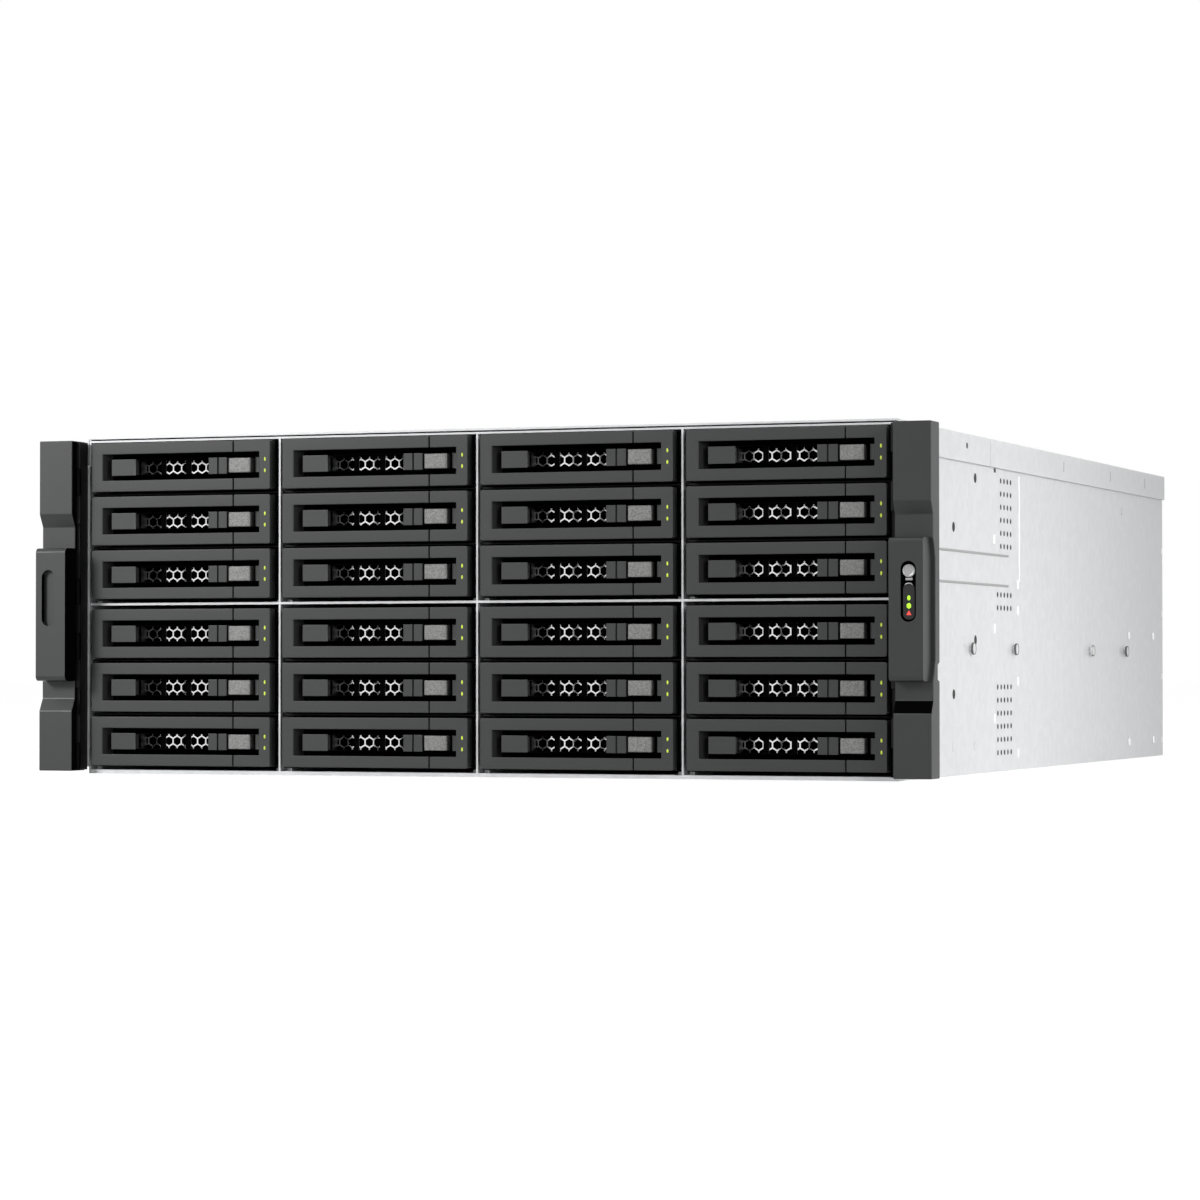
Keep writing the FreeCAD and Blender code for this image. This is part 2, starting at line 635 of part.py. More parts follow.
def make_lever():
    """C-shaped bezel frame that turns on the pin at its left end."""
    lever = doc.addObject("PartDesign::Body", "Lever")
    end = "seam_at - tray_seam / 2"
    back = "(lever_depth - bezel_reach)"
    bevel = "bezel_corner"
    frame = [(bevel, "0"), (end, "0"), (end, "recess_bottom"), ("recess_left", "recess_bottom"),
             ("recess_left", "recess_top"), (end, "recess_top"), (end, "bezel_height"),
             (bevel, "bezel_height"), ("0", f"bezel_height - {bevel}"), ("0", bevel)]
    pad(lever, "XZ_Plane", frame, "bezel_reach - lever_depth", "lever_depth")
    # behind the finger recess only the front wall stays between the two rails
    hollow = rectangle(("-over", "recess_left + over"), ("recess_bottom", "recess_top"))
    pocket(lever, "XZ_Plane", hollow, "bezel_reach - lever_wall", "lever_depth")
    slope = [("recess_left - lever_wall", "lever_wall - bezel_reach"), ("recess_left", "-bezel_reach"),
             ("recess_left + slope_run", back), ("recess_left + slope_run - lever_wall", back)]
    pad(lever, "XY_Plane", slope, "recess_bottom", "recess_top - recess_bottom")
    corner = [("-over", f"{back} + over"), ("-over", f"{back} - knuckle_cut - over"),
              ("knuckle_cut + over", f"{back} + over")]
    pocket(lever, "XY_Plane", corner, "bezel_height + over", "bezel_height + 2 * over")
    reach = "(pin_radius + pin_play)"
    # each pin end turns in a square socket that opens towards the lug
    sockets = [box((f"hinge_inset - {reach}", f"hinge_inset + {reach}"),
                   (f"{HINGE_Y} - {reach}", f"{HINGE_Y} + {reach}"), span, "Socket")
               for span in (("recess_bottom + lug_play - pin_reach - pin_play", "recess_bottom + lug_play"),
                            ("recess_top - lug_play", "recess_top - lug_play + pin_reach + pin_play"))]
    return cut(lever, sockets, "LeverCut")


def make_disk():
    """A 3.5-inch disk: base casting and a slightly smaller raised cover."""
    disk = doc.addObject("PartDesign::Body", "Disk")
    left = "(bezel_width / 2 - disk_width / 2)"
    body = rectangle((left, f"{left} + disk_width"), ("disk_front", "disk_front + disk_length"))
    pad(disk, "XY_Plane", body, "-disk_drop", "disk_height - disk_cover")
    cover = rectangle((f"{left} + disk_rim", f"{left} + disk_width - disk_rim"),
                      ("disk_front + disk_rim", "disk_front + disk_length - disk_rim"))
    pad(disk, "XY_Plane", cover, "disk_height - disk_cover - disk_drop", "disk_cover")
    return disk


def make_mesh():
    """Air screen behind the windows."""
    return box(("window_one - mesh_border", "window_three + window_three_width + mesh_border"),
               ("strip_back", "strip_back + mesh_thick"),
               ("strip_bottom", "strip_top"), "Mesh")


def make_release():
    return box(("button_left", "button_right"), ("button_inset - bezel_reach", "wall_front"),
               ("button_bottom", "button_top"), "Release")


# ---- boards ----

def port_places():
    """(x, z, width, height) formulas of the rear sockets."""
    z = f"({BOARD_Z} + io_thick)"
    return [("-port_spacing", z, "sas_width", "sas_height"), ("0", z, "net_width", "net_height"),
            ("port_spacing", z, "sas_width", "sas_height")]


def make_boards():
    """Backplane with a plug for each disk, and the interface board with its sockets."""
    wide = (f"-({WALL_IN} - board_margin)", f"{WALL_IN} - board_margin")
    board = box(wide, (CAGE_DEPTH, f"{CAGE_DEPTH} + board_thick"),
                ("board_margin", f"{BODY_TOP} - board_margin"), "Backplane")
    slots, plugs = [], []
    for column in range(COLUMNS):
        middle = f"(({column} - 1.5) * cell_pitch)"
        for row in range(2 * ROWS_IN_HALF):
            z = f"({row_z(row)} + disk_height / 2 - disk_drop)"
            plugs.append(box((f"{middle} - plug_width / 2", f"{middle} + plug_width / 2"),
                             (f"{CAGE_DEPTH} - plug_length", CAGE_DEPTH),
                             (f"{z} - plug_height / 2", f"{z} + plug_height / 2"), "Plug"))
            if row % ROWS_IN_HALF:
                gap = f"({row_z(row)} - row_gap / 2)"
                slots.append(box((f"{middle} - air_slot_width / 2", f"{middle} + air_slot_width / 2"),
                                 (f"{CAGE_DEPTH} - over", f"{CAGE_DEPTH} + board_thick + over"),
                                 (f"{gap} - air_slot_height / 2", f"{gap} + air_slot_height / 2"),
                                 "AirSlot"))
    back = fuse([cut(board, slots, "BackplaneCut")] + plugs, "BackplaneAll")
    io_back = f"({PANEL_IN} - io_gap)"
    io = box(("-io_board_width / 2", "io_board_width / 2"), (f"{io_back} - io_board_length", io_back),
             (BOARD_Z, f"{BOARD_Z} + io_thick"), "InterfaceBoard")
    inset = "2 * post_radius"
    posts = [prism("Z", 6, "post_radius", f"{side} * (io_board_width / 2 - {inset})", y, "steel",
                   "post_height", "Post")
             for side in (-1, 1) for y in (f"{io_back} - {inset}", f"{io_back} - io_board_length + {inset}")]
    ports = []
    for x, z, width, height in port_places():
        end = "(body_depth + port_proud)"
        shell = box((f"{x} - {width} / 2", f"{x} + {width} / 2"), (f"{end} - port_depth - port_wall", end),
                    (z, f"{z} + {height}"), "PortShell")
        room = box((f"{x} - {width} / 2 + port_wall", f"{x} + {width} / 2 - port_wall"),
                   (f"{end} - port_depth", f"{end} + over"),
                   (f"{z} + port_wall", f"{z} + {height} - port_wall"), "PortRoom")
        ports.append(cut(shell, [room], "Port"))
    return group([back, fuse([io] + posts + ports, "Interface")], "Boards")


# ---- power supplies ----

def make_supply(side, name):
    """Slide-in power supply with an inlet, air slots and a pull grip at the rear."""
    x = f"{side} * {PSU_X}"
    low, high = f"({x} - psu_width / 2)", f"({x} + psu_width / 2)"
    floor = "(steel + run_gap)"
    case = box((low, high), ("body_depth - psu_length", "body_depth"),
               (floor, f"{floor} + psu_height"), "SupplyCase")
    inlet = f"({x} + inlet_offset)"
    cuts = [box((f"{inlet} - inlet_width / 2", f"{inlet} + inlet_width / 2"),
                ("body_depth - inlet_depth", "body_depth + over"),
                (f"{floor} + inlet_bottom", f"{floor} + inlet_bottom + inlet_height"), "Inlet")]
    for slot in range(SUPPLY_VENTS):
        vent = f"({low} + 2 * psu_vent_width + {slot} * psu_vent_step)"
        cuts.append(box((vent, f"{vent} + psu_vent_width"),
                        ("body_depth - psu_vent_depth", "body_depth + over"),
                        (f"{floor} + inlet_bottom", f"{floor} + inlet_bottom + psu_vent_height"),
                        "SupplyVent"))
    grip = doc.addObject("PartDesign::Body", name + "Grip")
    ends = (f"{x} - grip_width / 2", f"{x} + grip_width / 2")
    far = "body_depth + grip_reach"
    inner = (f"{ends[0]} + grip_bar", f"{ends[1]} - grip_bar")
    loop = [(ends[0], "body_depth"), (ends[0], far), (ends[1], far), (ends[1], "body_depth"),
            (inner[1], "body_depth"), (inner[1], f"{far} - grip_bar"),
            (inner[0], f"{far} - grip_bar"), (inner[0], "body_depth")]
    pad(grip, "XY_Plane", loop, f"{floor} + grip_z", "grip_bar")
    return fuse([cut(case, cuts, "SupplyCut"), grip], name)


# ---- fans ----

def make_fan_frames():
    """Square fan housings against the rear panel, each with a motor seat on a cross of spokes."""
    frames = []
    for side in (-1, 1):
        x = f"{side} * fan_middle"
        half = "fan_size / 2"
        block = box((f"{x} - {half}", f"{x} + {half}"), (f"{PANEL_IN} - fan_depth", PANEL_IN),
                    (f"fan_height - {half}", f"fan_height + {half}"), "FanBlock")
        bore = cylinder("Y", "fan_bore", x, f"{PANEL_IN} - fan_depth - over", "fan_height",
                        "fan_depth + 2 * over", "FanBore")
        seat = prism("Y", 2 * BLADES, "motor_radius", x, f"{PANEL_IN} - spoke_thick", "fan_height",
                     "spoke_thick", "Seat")
        depth = (f"{PANEL_IN} - spoke_thick", PANEL_IN)
        bars = [box((f"{x} - fan_spoke / 2", f"{x} + fan_spoke / 2"), depth,
                    ("fan_height - fan_bore - over", "fan_height + fan_bore + over"), "Spoke"),
                box((f"{x} - fan_bore - over", f"{x} + fan_bore + over"), depth,
                    (f"fan_height - fan_spoke / 2", f"fan_height + fan_spoke / 2"), "Spoke")]
        frames.append(fuse([cut(block, [bore], "FanRing"), seat] + bars, "FanFrame"))
    return group(frames, "FanFrames")


def make_rotor():
    """Hub with pitched blades, about the Y axis at the frame's origin."""
    hub_length = "fan_depth - spoke_thick - 2 * rotor_play"
    hub = prism("Y", 2 * BLADES, "hub_radius", "0", "0", "0", hub_length, "Hub")
    blade = doc.addObject("PartDesign::Body", "Blade")
    pitch = "blade_depth / 2"
    end = "blade_start + blade_depth"
    section = [(f"-{pitch}", "blade_start"), (f"-{pitch} + 2 * blade_thick", "blade_start"), (pitch, end),
               (f"{pitch} - 2 * blade_thick", end)]
    pad(blade, "XY_Plane", section, "hub_radius - blade_root", "blade_radius - hub_radius + blade_root")
    blades = []
    for number in range(BLADES):
        copy = group([blade], "BladeCopy")
        turn = FreeCAD.Rotation(FreeCAD.Vector(0, 1, 0), number * 360 / BLADES)
        copy.Placement = FreeCAD.Placement(FreeCAD.Vector(), turn)
        blades.append(copy)
    return fuse([hub] + blades, "Rotor")


# ---- the nodes ----

nodes = {}


def node(label, piece, x="0", y=FRONT_Y, z="0"):
    """Name a finished piece and set it in the shelf's frame."""
    holder = group([piece], "Node")
    holder.Label = label
    nodes[label] = place(holder, x, y, z)


node("chassis", make_chassis())
node("drive_cage", make_cage())
node("top_covers", make_covers())
node("left_ear", make_ear(-1, "LeftEar"))
node("right_ear", make_ear(1, "RightEar"))
node("power_button", make_power_button())
node("circuit_boards", make_boards())
node("psu_left", make_supply(-1, "SupplyLeft"))
node("psu_right", make_supply(1, "SupplyRight"))
node("fan_frames", make_fan_frames())
rotor = make_rotor()
for side_name, side in (("left", -1), ("right", 1)):
    node(f"fan_rotor_{side_name}", rotor, f"{side} * fan_middle",
         f"{FRONT_Y} + {PANEL_IN} - fan_depth + rotor_play", "fan_height")

tray = group([make_carrier(), make_disk(), make_mesh(), make_release()], "Tray")
lever = make_lever()
for column in range(COLUMNS):
    for row in range(2 * ROWS_IN_HALF):
        number = f"r{row + 1}c{column + 1}"
        node(f"tray_{number}", tray, column_x(column), FRONT_Y, row_z(row))
        node(f"lever_{number}", lever, column_x(column), FRONT_Y, row_z(row))

doc.recompute()

for item in doc.Objects:
    if "Invalid" in item.State or "Error" in item.State:
        raise RuntimeError(f"{item.Name} ({item.Label}) failed: {item.State}")
for label, piece in nodes.items():
    if piece.Shape.isNull() or not piece.Shape.isValid() or not piece.Shape.Solids:
        raise RuntimeError(f"{label} has no valid shape")

os.makedirs("parts", exist_ok=True)
for label, piece in nodes.items():
    piece.Shape.exportStep(f"parts/{label}.step")
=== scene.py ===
"""Looks of the disk shelf enclosure: a 4U rack chassis with 24 drive trays.

Sizes here are in millimetres and colours are linear. Every finished piece sits at the origin
of the row frame: +X to the right seen from the front, +Y to the rear, +Z up.
"""

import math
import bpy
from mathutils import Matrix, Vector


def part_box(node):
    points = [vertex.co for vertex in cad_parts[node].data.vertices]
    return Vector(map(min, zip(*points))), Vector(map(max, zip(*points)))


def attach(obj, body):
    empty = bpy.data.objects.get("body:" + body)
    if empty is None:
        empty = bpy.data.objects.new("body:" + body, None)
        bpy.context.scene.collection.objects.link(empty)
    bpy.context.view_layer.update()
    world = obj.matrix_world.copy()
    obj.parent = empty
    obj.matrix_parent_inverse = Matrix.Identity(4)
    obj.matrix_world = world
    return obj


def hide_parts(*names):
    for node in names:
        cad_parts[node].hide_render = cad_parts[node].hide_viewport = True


bl_info = {
    "name": "Disk shelf enclosure",
    "version": (1, 0, 0),
    "blender": (4, 5, 0),
    "location": "3D View > Sidebar > Disk shelf",
    "description": "Builds the bezels, trays, ears and finishes of a 24-bay disk shelf",
    "category": "Object",
}

import bmesh
import bpy
from mathutils import Matrix, Vector

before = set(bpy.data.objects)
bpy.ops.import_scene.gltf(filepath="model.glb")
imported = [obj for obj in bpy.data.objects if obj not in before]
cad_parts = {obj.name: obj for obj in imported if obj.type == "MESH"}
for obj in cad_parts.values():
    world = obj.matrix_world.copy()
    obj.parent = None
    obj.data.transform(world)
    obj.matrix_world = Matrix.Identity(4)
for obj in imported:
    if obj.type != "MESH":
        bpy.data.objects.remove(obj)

MM = 0.001
ROWS = (1, 2, 3, 4, 5, 6)
COLUMNS = (1, 2, 3, 4)
CELLS = [(row, column) for row in ROWS for column in COLUMNS]
ROOT = "shelf"
TINY = 0.02
FAR = 1000.0


# ---- sizes and colours a user would change ----

def length(label, note, size):
    return bpy.props.FloatProperty(name=label, description=note, default=size * MM, min=0.0,
                                   precision=5, subtype="DISTANCE", unit="LENGTH")


def colour(label, note, rgb):
    return bpy.props.FloatVectorProperty(name=label, description=note, default=rgb, size=3,
                                         min=0.0, max=1.0, subtype="COLOR")


class BezelSettings(bpy.types.PropertyGroup):
    """Sizes of one drive bezel, from its lower left corner and its face."""
    width: length("Width", "Bezel width", 103.0)
    height: length("Height", "Bezel height", 25.5)
    depth: length("Depth", "Depth of the hinged frame", 5.4)
    corner: length("Corner", "Radius of the outer corners", 1.1)
    edge: length("Edge", "Rounding of the moulded edges", 0.35)
    recess_low: length("Recess bottom", "Lower edge of the finger recess", 5.9)
    recess_high: length("Recess top", "Upper edge of the finger recess", 19.5)
    seam: length("Seam", "Middle of the seam between lever and fixed end", 82.0)
    screen_pitch: length("Screen pitch", "Spacing of the hexagons in the air screen", 4.75)
    screen_strand: length("Screen strand", "Width of the steel between two hexagons", 0.70)


class ShelfColours(bpy.types.PropertyGroup):
    """Base colours of the finishes, linear."""
    plastic: colour("Plastic", "Bezels, trays and ears", (0.021, 0.0225, 0.022))
    steel: colour("Steel", "Galvanised sheet", (0.70, 0.71, 0.72))
    tab: colour("Release tab", "Painted release tabs", (0.168, 0.168, 0.164))
    lamp: colour("Lamp", "Drive lamps", (0.50, 0.62, 0.05))
    floor: colour("Floor", "Floor and backdrop", (0.90, 0.90, 0.90))


# ---- shader sums ----

class Tap:
    """A node's socket, so that sums over a surface can be written as plain expressions."""

    def __init__(self, finish, socket):
        self.finish = finish
        self.socket = socket

    def _sum(self, operation, first, second):
        return self.finish.add("Math", {"operation": operation}, {0: first, 1: second})

    def __add__(self, other):
        return self._sum("ADD", self, other)

    __radd__ = __add__

    def __mul__(self, other):
        return self._sum("MULTIPLY", self, other)

    __rmul__ = __mul__

    def __sub__(self, other):
        return self._sum("SUBTRACT", self, other)

    def __rsub__(self, other):
        return self._sum("SUBTRACT", other, self)


class Finish:
    """One material, or the world, built from nodes that read Object coordinates."""

    def __init__(self, name, world=None):
        self.holder = world or bpy.data.materials.new(name)
        self.holder.use_nodes = True
        self.tree = self.holder.node_tree
        self.tree.nodes.clear()

    def add(self, kind, settings=None, sockets=None, out=0):
        """Add one node: its settings first, then the values or links of its sockets."""
        node = self.tree.nodes.new("ShaderNode" + kind)
        for key, setting in (settings or {}).items():
            setattr(node, key, setting)
        for key, given in (sockets or {}).items():
            if isinstance(given, Tap):
                self.tree.links.new(given.socket, node.inputs[key])
            else:
                node.inputs[key].default_value = given
        return Tap(self, node.outputs[out])

    def place(self):
        return self.add("TexCoord", out="Object")

    def noise(self, scale, detail=2.0):
        return self.add("TexNoise", None, {"Vector": self.place(), "Scale": scale,
                                           "Detail": detail})

    def cells(self, scale):
        """A grey of its own for each of many small cells."""
        cell = self.add("TexVoronoi", {"feature": "F1"}, {"Vector": self.place(), "Scale": scale},
                        out="Color")
        return self.add("SeparateColor", None, {"Color": cell})

    def tint(self, base, shift):
        """The base colour, made lighter and darker by a shift around 1."""
        grey = self.add("CombineColor", None, {"Red": shift, "Green": shift, "Blue": shift})
        return self.add("Mix", {"data_type": "RGBA", "blend_type": "MULTIPLY"},
                        {"Factor": 1.0, 6: (*base, 1.0), 7: grey}, out=2)

    def bump(self, height, distance, strength):
        return self.add("Bump", None, {"Height": height, "Distance": distance * MM,
                                       "Strength": strength})

    def surface(self, **sockets):
        """Close the material with a principled surface."""
        named = {key.replace("_", " "): given for key, given in sockets.items()}
        shader = self.add("BsdfPrincipled", None, named)
        self.add_output(shader)
        return self.holder

    def camera_mask(self):
        """1 for rays seen directly, in a reflection or through a clear surface, else 0."""
        seen, glossy, clear = [self.add("LightPath", out=f"Is {ray} Ray")
                               for ray in ("Camera", "Glossy", "Transmission")]
        direct = self.add("Math", {"operation": "MAXIMUM"}, {0: seen, 1: glossy})
        return self.add("Math", {"operation": "MAXIMUM"}, {0: direct, 1: clear})

    def add_output(self, shader, kind="Material"):
        end = self.tree.nodes.new("ShaderNodeOutput" + kind)
        self.tree.links.new(shader.socket, end.inputs["Surface"])


def moulded_plastic(name, base, roughness, grain=1.0, sheen=0.42):
    """Fine-grained moulded plastic with a slightly uneven sheen."""
    f = Finish(name)
    fine = f.noise(2600.0)
    broad = f.noise(35.0, 3.0)
    return f.surface(Base_Color=f.tint(base, 0.88 + 0.24 * broad), Specular_IOR_Level=sheen,
                     Roughness=roughness - 0.05 + 0.10 * broad + 0.04 * fine,
                     Normal=f.bump(fine, 0.012 * grain, 0.6))


def galvanised_steel(name, base, metallic=0.15, roughness=0.40, spangle=0.08):
    """Zinc-coated sheet: faint crystals, a rolled grain and small handling marks."""
    f = Finish(name)
    patch = f.cells(210.0)
    grain = f.noise(1400.0)
    cloud = f.noise(9.0, 4.0)
    shade = 1.0 - spangle * 0.6 + spangle * patch + 0.05 * (cloud - 0.5)
    return f.surface(Base_Color=f.tint(base, shade), Metallic=metallic,
                     Roughness=roughness + 0.10 * patch + 0.06 * cloud - 0.06,
                     Normal=f.bump(grain + 0.5 * patch, 0.006, 0.12))


def bright_steel(name):
    """Polished screen steel with fine punching marks."""
    f = Finish(name)
    fine = f.noise(1800.0)
    return f.surface(Base_Color=f.tint((0.80, 0.80, 0.81), 0.94 + 0.12 * fine), Metallic=1.0,
                     Roughness=0.12 + 0.10 * fine, Normal=f.bump(fine, 0.004, 0.3))


def sparkle_paint(name, base):
    """Grainy silver paint."""
    f = Finish(name)
    spot = f.cells(2400.0)
    fine = f.noise(1500.0, 3.0)
    return f.surface(Base_Color=f.tint(base, 0.55 + 0.80 * spot + 0.20 * fine), Metallic=0.35,
                     Roughness=0.42 + 0.14 * fine, Normal=f.bump(spot, 0.020, 0.5))


def circuit_board(name):
    """Green board: solder mask over a grid of copper tracks."""
    f = Finish(name)
    tracks = f.add("TexBrick", None, {"Vector": f.place(), "Scale": 260.0, "Mortar Size": 0.06,
                                      "Color1": (0, 0, 0, 1), "Color2": (0, 0, 0, 1),
                                      "Mortar": (1, 1, 1, 1)}, out="Color")
    track = f.add("SeparateColor", None, {"Color": tracks})
    mottled = f.noise(60.0)
    mask, copper = (0.010, 0.090, 0.035, 1.0), (0.045, 0.24, 0.10, 1.0)
    shown = f.add("Mix", {"data_type": "RGBA"}, {"Factor": track * 0.6, 6: mask, 7: copper}, out=2)
    return f.surface(Base_Color=shown, Roughness=0.30 + 0.15 * mottled, Coat_Weight=0.2,
                     Normal=f.bump(track, 0.03, 0.4))


def lamp_lens(name, base, glow):
    """A small moulded lens that is lit from behind, a little unevenly."""
    f = Finish(name)
    cloud = f.noise(1200.0)
    lit = f.tint(base, 0.75 + 0.5 * cloud)
    return f.surface(Base_Color=lit, Roughness=0.25 + 0.1 * cloud, Emission_Color=lit,
                     Emission_Strength=glow)


# ---- modelling by hand ----

def start_piece(name):
    """Name the new primitive, put its place and size into its mesh and edit it."""
    piece = bpy.context.object
    piece.name = name
    bpy.ops.object.transform_apply(location=True, rotation=True, scale=True)
    edit(piece)
    return piece


def start_block(name, low, high):
    """Start a piece from a box between two corners, in millimetres."""
    bpy.ops.object.select_all(action="DESELECT")
    middle = [(a + b) / 2 * MM for a, b in zip(low, high)]
    bpy.ops.mesh.primitive_cube_add(size=1.0, location=middle)
    bpy.context.object.scale = [(b - a) * MM for a, b in zip(low, high)]
    return start_piece(name)


def start_round(name, middle, radius, depth, axis, sides):
    """Start a piece from a cylinder around a middle, in millimetres, along one axis."""
    bpy.ops.object.select_all(action="DESELECT")
    turn = {"X": (0, math.pi / 2, 0), "Y": (math.pi / 2, 0, 0), "Z": (0, 0, 0)}[axis]
    bpy.ops.mesh.primitive_cylinder_add(vertices=sides, radius=radius * MM, depth=depth * MM,
                                        location=[v * MM for v in middle], rotation=turn)
    return start_piece(name)


def new_object(name, data):
    """Put a mesh, a light or a camera into the scene."""
    made = bpy.data.objects.new(name, data)
    bpy.context.scene.collection.objects.link(made)
    return made


def select_only(piece):
    bpy.ops.object.select_all(action="DESELECT")
    piece.select_set(True)
    bpy.context.view_layer.objects.active = piece


def edit(piece):
    """Make this the only selected piece, go into edit mode and select nothing."""
    select_only(piece)
    bpy.ops.object.mode_set(mode="EDIT")
    bpy.ops.mesh.select_mode(type="FACE")
    bpy.ops.mesh.select_all(action="DESELECT")


def done():
    bpy.ops.object.mode_set(mode="OBJECT")


def pick(piece, kind, low, high, test):
    """Select the faces, edges or points that lie between two corners and pass a test."""
    bpy.ops.mesh.select_mode(type=kind)
    bpy.ops.mesh.select_all(action="DESELECT")
    mesh = bmesh.from_edit_mesh(piece.data)
    found = 0
    for part in {"FACE": mesh.faces, "EDGE": mesh.edges, "VERT": mesh.verts}[kind]:
        points = [part] if kind == "VERT" else part.verts
        at = sum((point.co for point in points), Vector()) / len(points) / MM
        if all(a - TINY <= v <= b + TINY for a, v, b in zip(low, at, high)) and test(part, at):
            part.select_set(True)
            found += 1
    if not found:
        raise RuntimeError(f"nothing of {piece.name} between {low} and {high}")
    bmesh.update_edit_mesh(piece.data)


def pick_faces(piece, low, high, normal):
    """Select the faces whose middle lies between two corners and that look along a normal."""
    pick(piece, "FACE", low, high, lambda face, at: face.normal.dot(Vector(normal)) > 0.9)


def along(axis, size=1.0, other=0.0):
    """A vector with one number on an axis and another on the others."""
    return [size if name == axis else other for name in "XYZ"]


def pick_side(piece, axis, place, way):
    """Select the faces that lie in one plane across an axis and look up it (1) or down it (-1)."""
    pick_faces(piece, along(axis, place, -FAR), along(axis, place, FAR), along(axis, way))


def pick_edges(piece, low, high, way):
    """Select the edges between two corners that run one way or back."""
    pick(piece, "EDGE", low, high, lambda edge, at: abs(
        (edge.verts[1].co - edge.verts[0].co).normalized().dot(Vector(way))) > 0.99)


def pick_points(piece, low, high):
    """Select the points between two corners."""
    pick(piece, "VERT", low, high, lambda point, at: True)


def pick_all():
    bpy.ops.mesh.select_all(action="SELECT")


def slice_at(axis, places, **dropped):
    """Cut the whole piece by planes across one axis, and drop a side if asked."""
    for place in places:
        pick_all()
        bpy.ops.mesh.bisect(plane_co=along(axis, place * MM), plane_no=along(axis), **dropped)


def push(x=0.0, y=0.0, z=0.0):
    bpy.ops.transform.translate(value=(x * MM, y * MM, z * MM))


def pull_out(x=0.0, y=0.0, z=0.0):
    """Extrude what is selected by a step."""
    bpy.ops.mesh.extrude_region_move(TRANSFORM_OT_translate={"value": (x * MM, y * MM, z * MM)})


def inset(width):
    """Draw a smaller copy of the picked face inside it."""
    bpy.ops.mesh.inset(thickness=width * MM)


def round_picked(offset, segments=3):
    bpy.ops.mesh.bevel(offset=offset * MM, segments=segments, affect="EDGES", clamp_overlap=True)


def soften(piece, width, segments=2, angle=35.0):
    """End editing, round every sharp edge with an applied bevel, then shade by angle."""
    done()
    select_only(piece)
    bevel = piece.modifiers.new("Rounded edges", "BEVEL")
    bevel.width = width * MM
    bevel.segments = segments
    bevel.limit_method = "ANGLE"
    bevel.angle_limit = math.radians(angle)
    bpy.ops.object.modifier_apply(modifier=bevel.name)
    bpy.ops.object.mode_set(mode="EDIT")
    pick_all()
    bpy.ops.mesh.remove_doubles(threshold=0.001 * MM)
    bpy.ops.mesh.normals_make_consistent(inside=False)
    done()
    bpy.ops.object.shade_smooth_by_angle(angle=math.radians(50.0))
    weighted = piece.modifiers.new("Flat faces stay flat", "WEIGHTED_NORMAL")
    weighted.keep_sharp = True
    weighted.weight = 100
    bpy.ops.object.modifier_apply(modifier=weighted.name)
    return piece


def faced_block(name, low, high, axis, way, width, step, soft, segments=1, walled=False):
    """A block with one face drawn in by an inset and moved outwards by a step.

    The face looks up an axis (way 1) or down it (-1), and walled keeps its rim in place.
    """
    piece = start_block(name, low, high)
    pick_side(piece, axis, (high if way > 0 else low)["XYZ".index(axis)], way)
    inset(width)
    if step:
        (pull_out if walled else push)(*along(axis, step * way))
    return soften(piece, soft, segments)


def join(pieces, name):
    """Join pieces into one mesh."""
    bpy.ops.object.select_all(action="DESELECT")
    for piece in pieces:
        piece.select_set(True)
    bpy.context.view_layer.objects.active = pieces[0]
    bpy.ops.object.join()
    pieces[0].name = name
    return pieces[0]


def finish_piece(piece, material, body=ROOT, replaced=None):
    """Give a piece its material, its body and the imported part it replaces."""
    piece.data.materials.clear()
    piece.data.materials.append(bpy.data.materials[material])
    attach(piece, body)
    if replaced:
        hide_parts(replaced)


def cell_corner(row, column):
    """Lower left corner of a bezel's face, in metres."""
    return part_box(f"lever_r{row}c{column}")[0]


def paint_shade(piece, test, corner=Vector()):
    """Paint shade on faces: a test of middle and normal gives 0 (as it is), 1 (painted black shade) or
    2 (painted dark shade).
    """
    for name in ("painted black shade", "panel plastic and painted shade"):
        piece.data.materials.append(bpy.data.materials[name])
    for face in piece.data.polygons:
        face.material_index = int(test((face.center - corner) / MM, face.normal))


def repeat_in_cells(model, name, material, body, replaced=None, dark=None):
    """Copy a model made at the origin to all the cells, each copy with its own mesh."""
    for row, column in CELLS:
        copy = new_object(f"{name}_r{row}c{column}", model.data.copy())
        copy.data.transform(Matrix.Translation(cell_corner(row, column)))
        node = f"{replaced}_r{row}c{column}" if replaced else None
        finish_piece(copy, material, f"{body}_r{row}c{column}", node)
        # painted shade on the faces that the test picks
        if dark:
            paint_shade(copy, dark, cell_corner(row, column))
    bpy.data.objects.remove(model)


# ---- bezels, trays and disks ----

def bezel_sizes():
    s = bpy.context.scene.bezel_settings
    return {key: getattr(s, key) / MM for key in BezelSettings.__annotations__}


SEAM_GAP = 0.3
# heights between which painted shade is put on a bezel's recess
SHADE_LOW, SHADE_HIGH = 4.5, 20.5


def lever_shade(at, normal):
    """Painted shade: the inner walls of a lever's recess are coloured black, and its sloped wall dark.
    """
    hinge, skin = 5.0, 0.6
    if not SHADE_LOW < at.z < SHADE_HIGH or at.y < skin or at.x < hinge:
        return 0
    return 2 if normal.x > 0.3 else int(abs(normal.z) > 0.7)


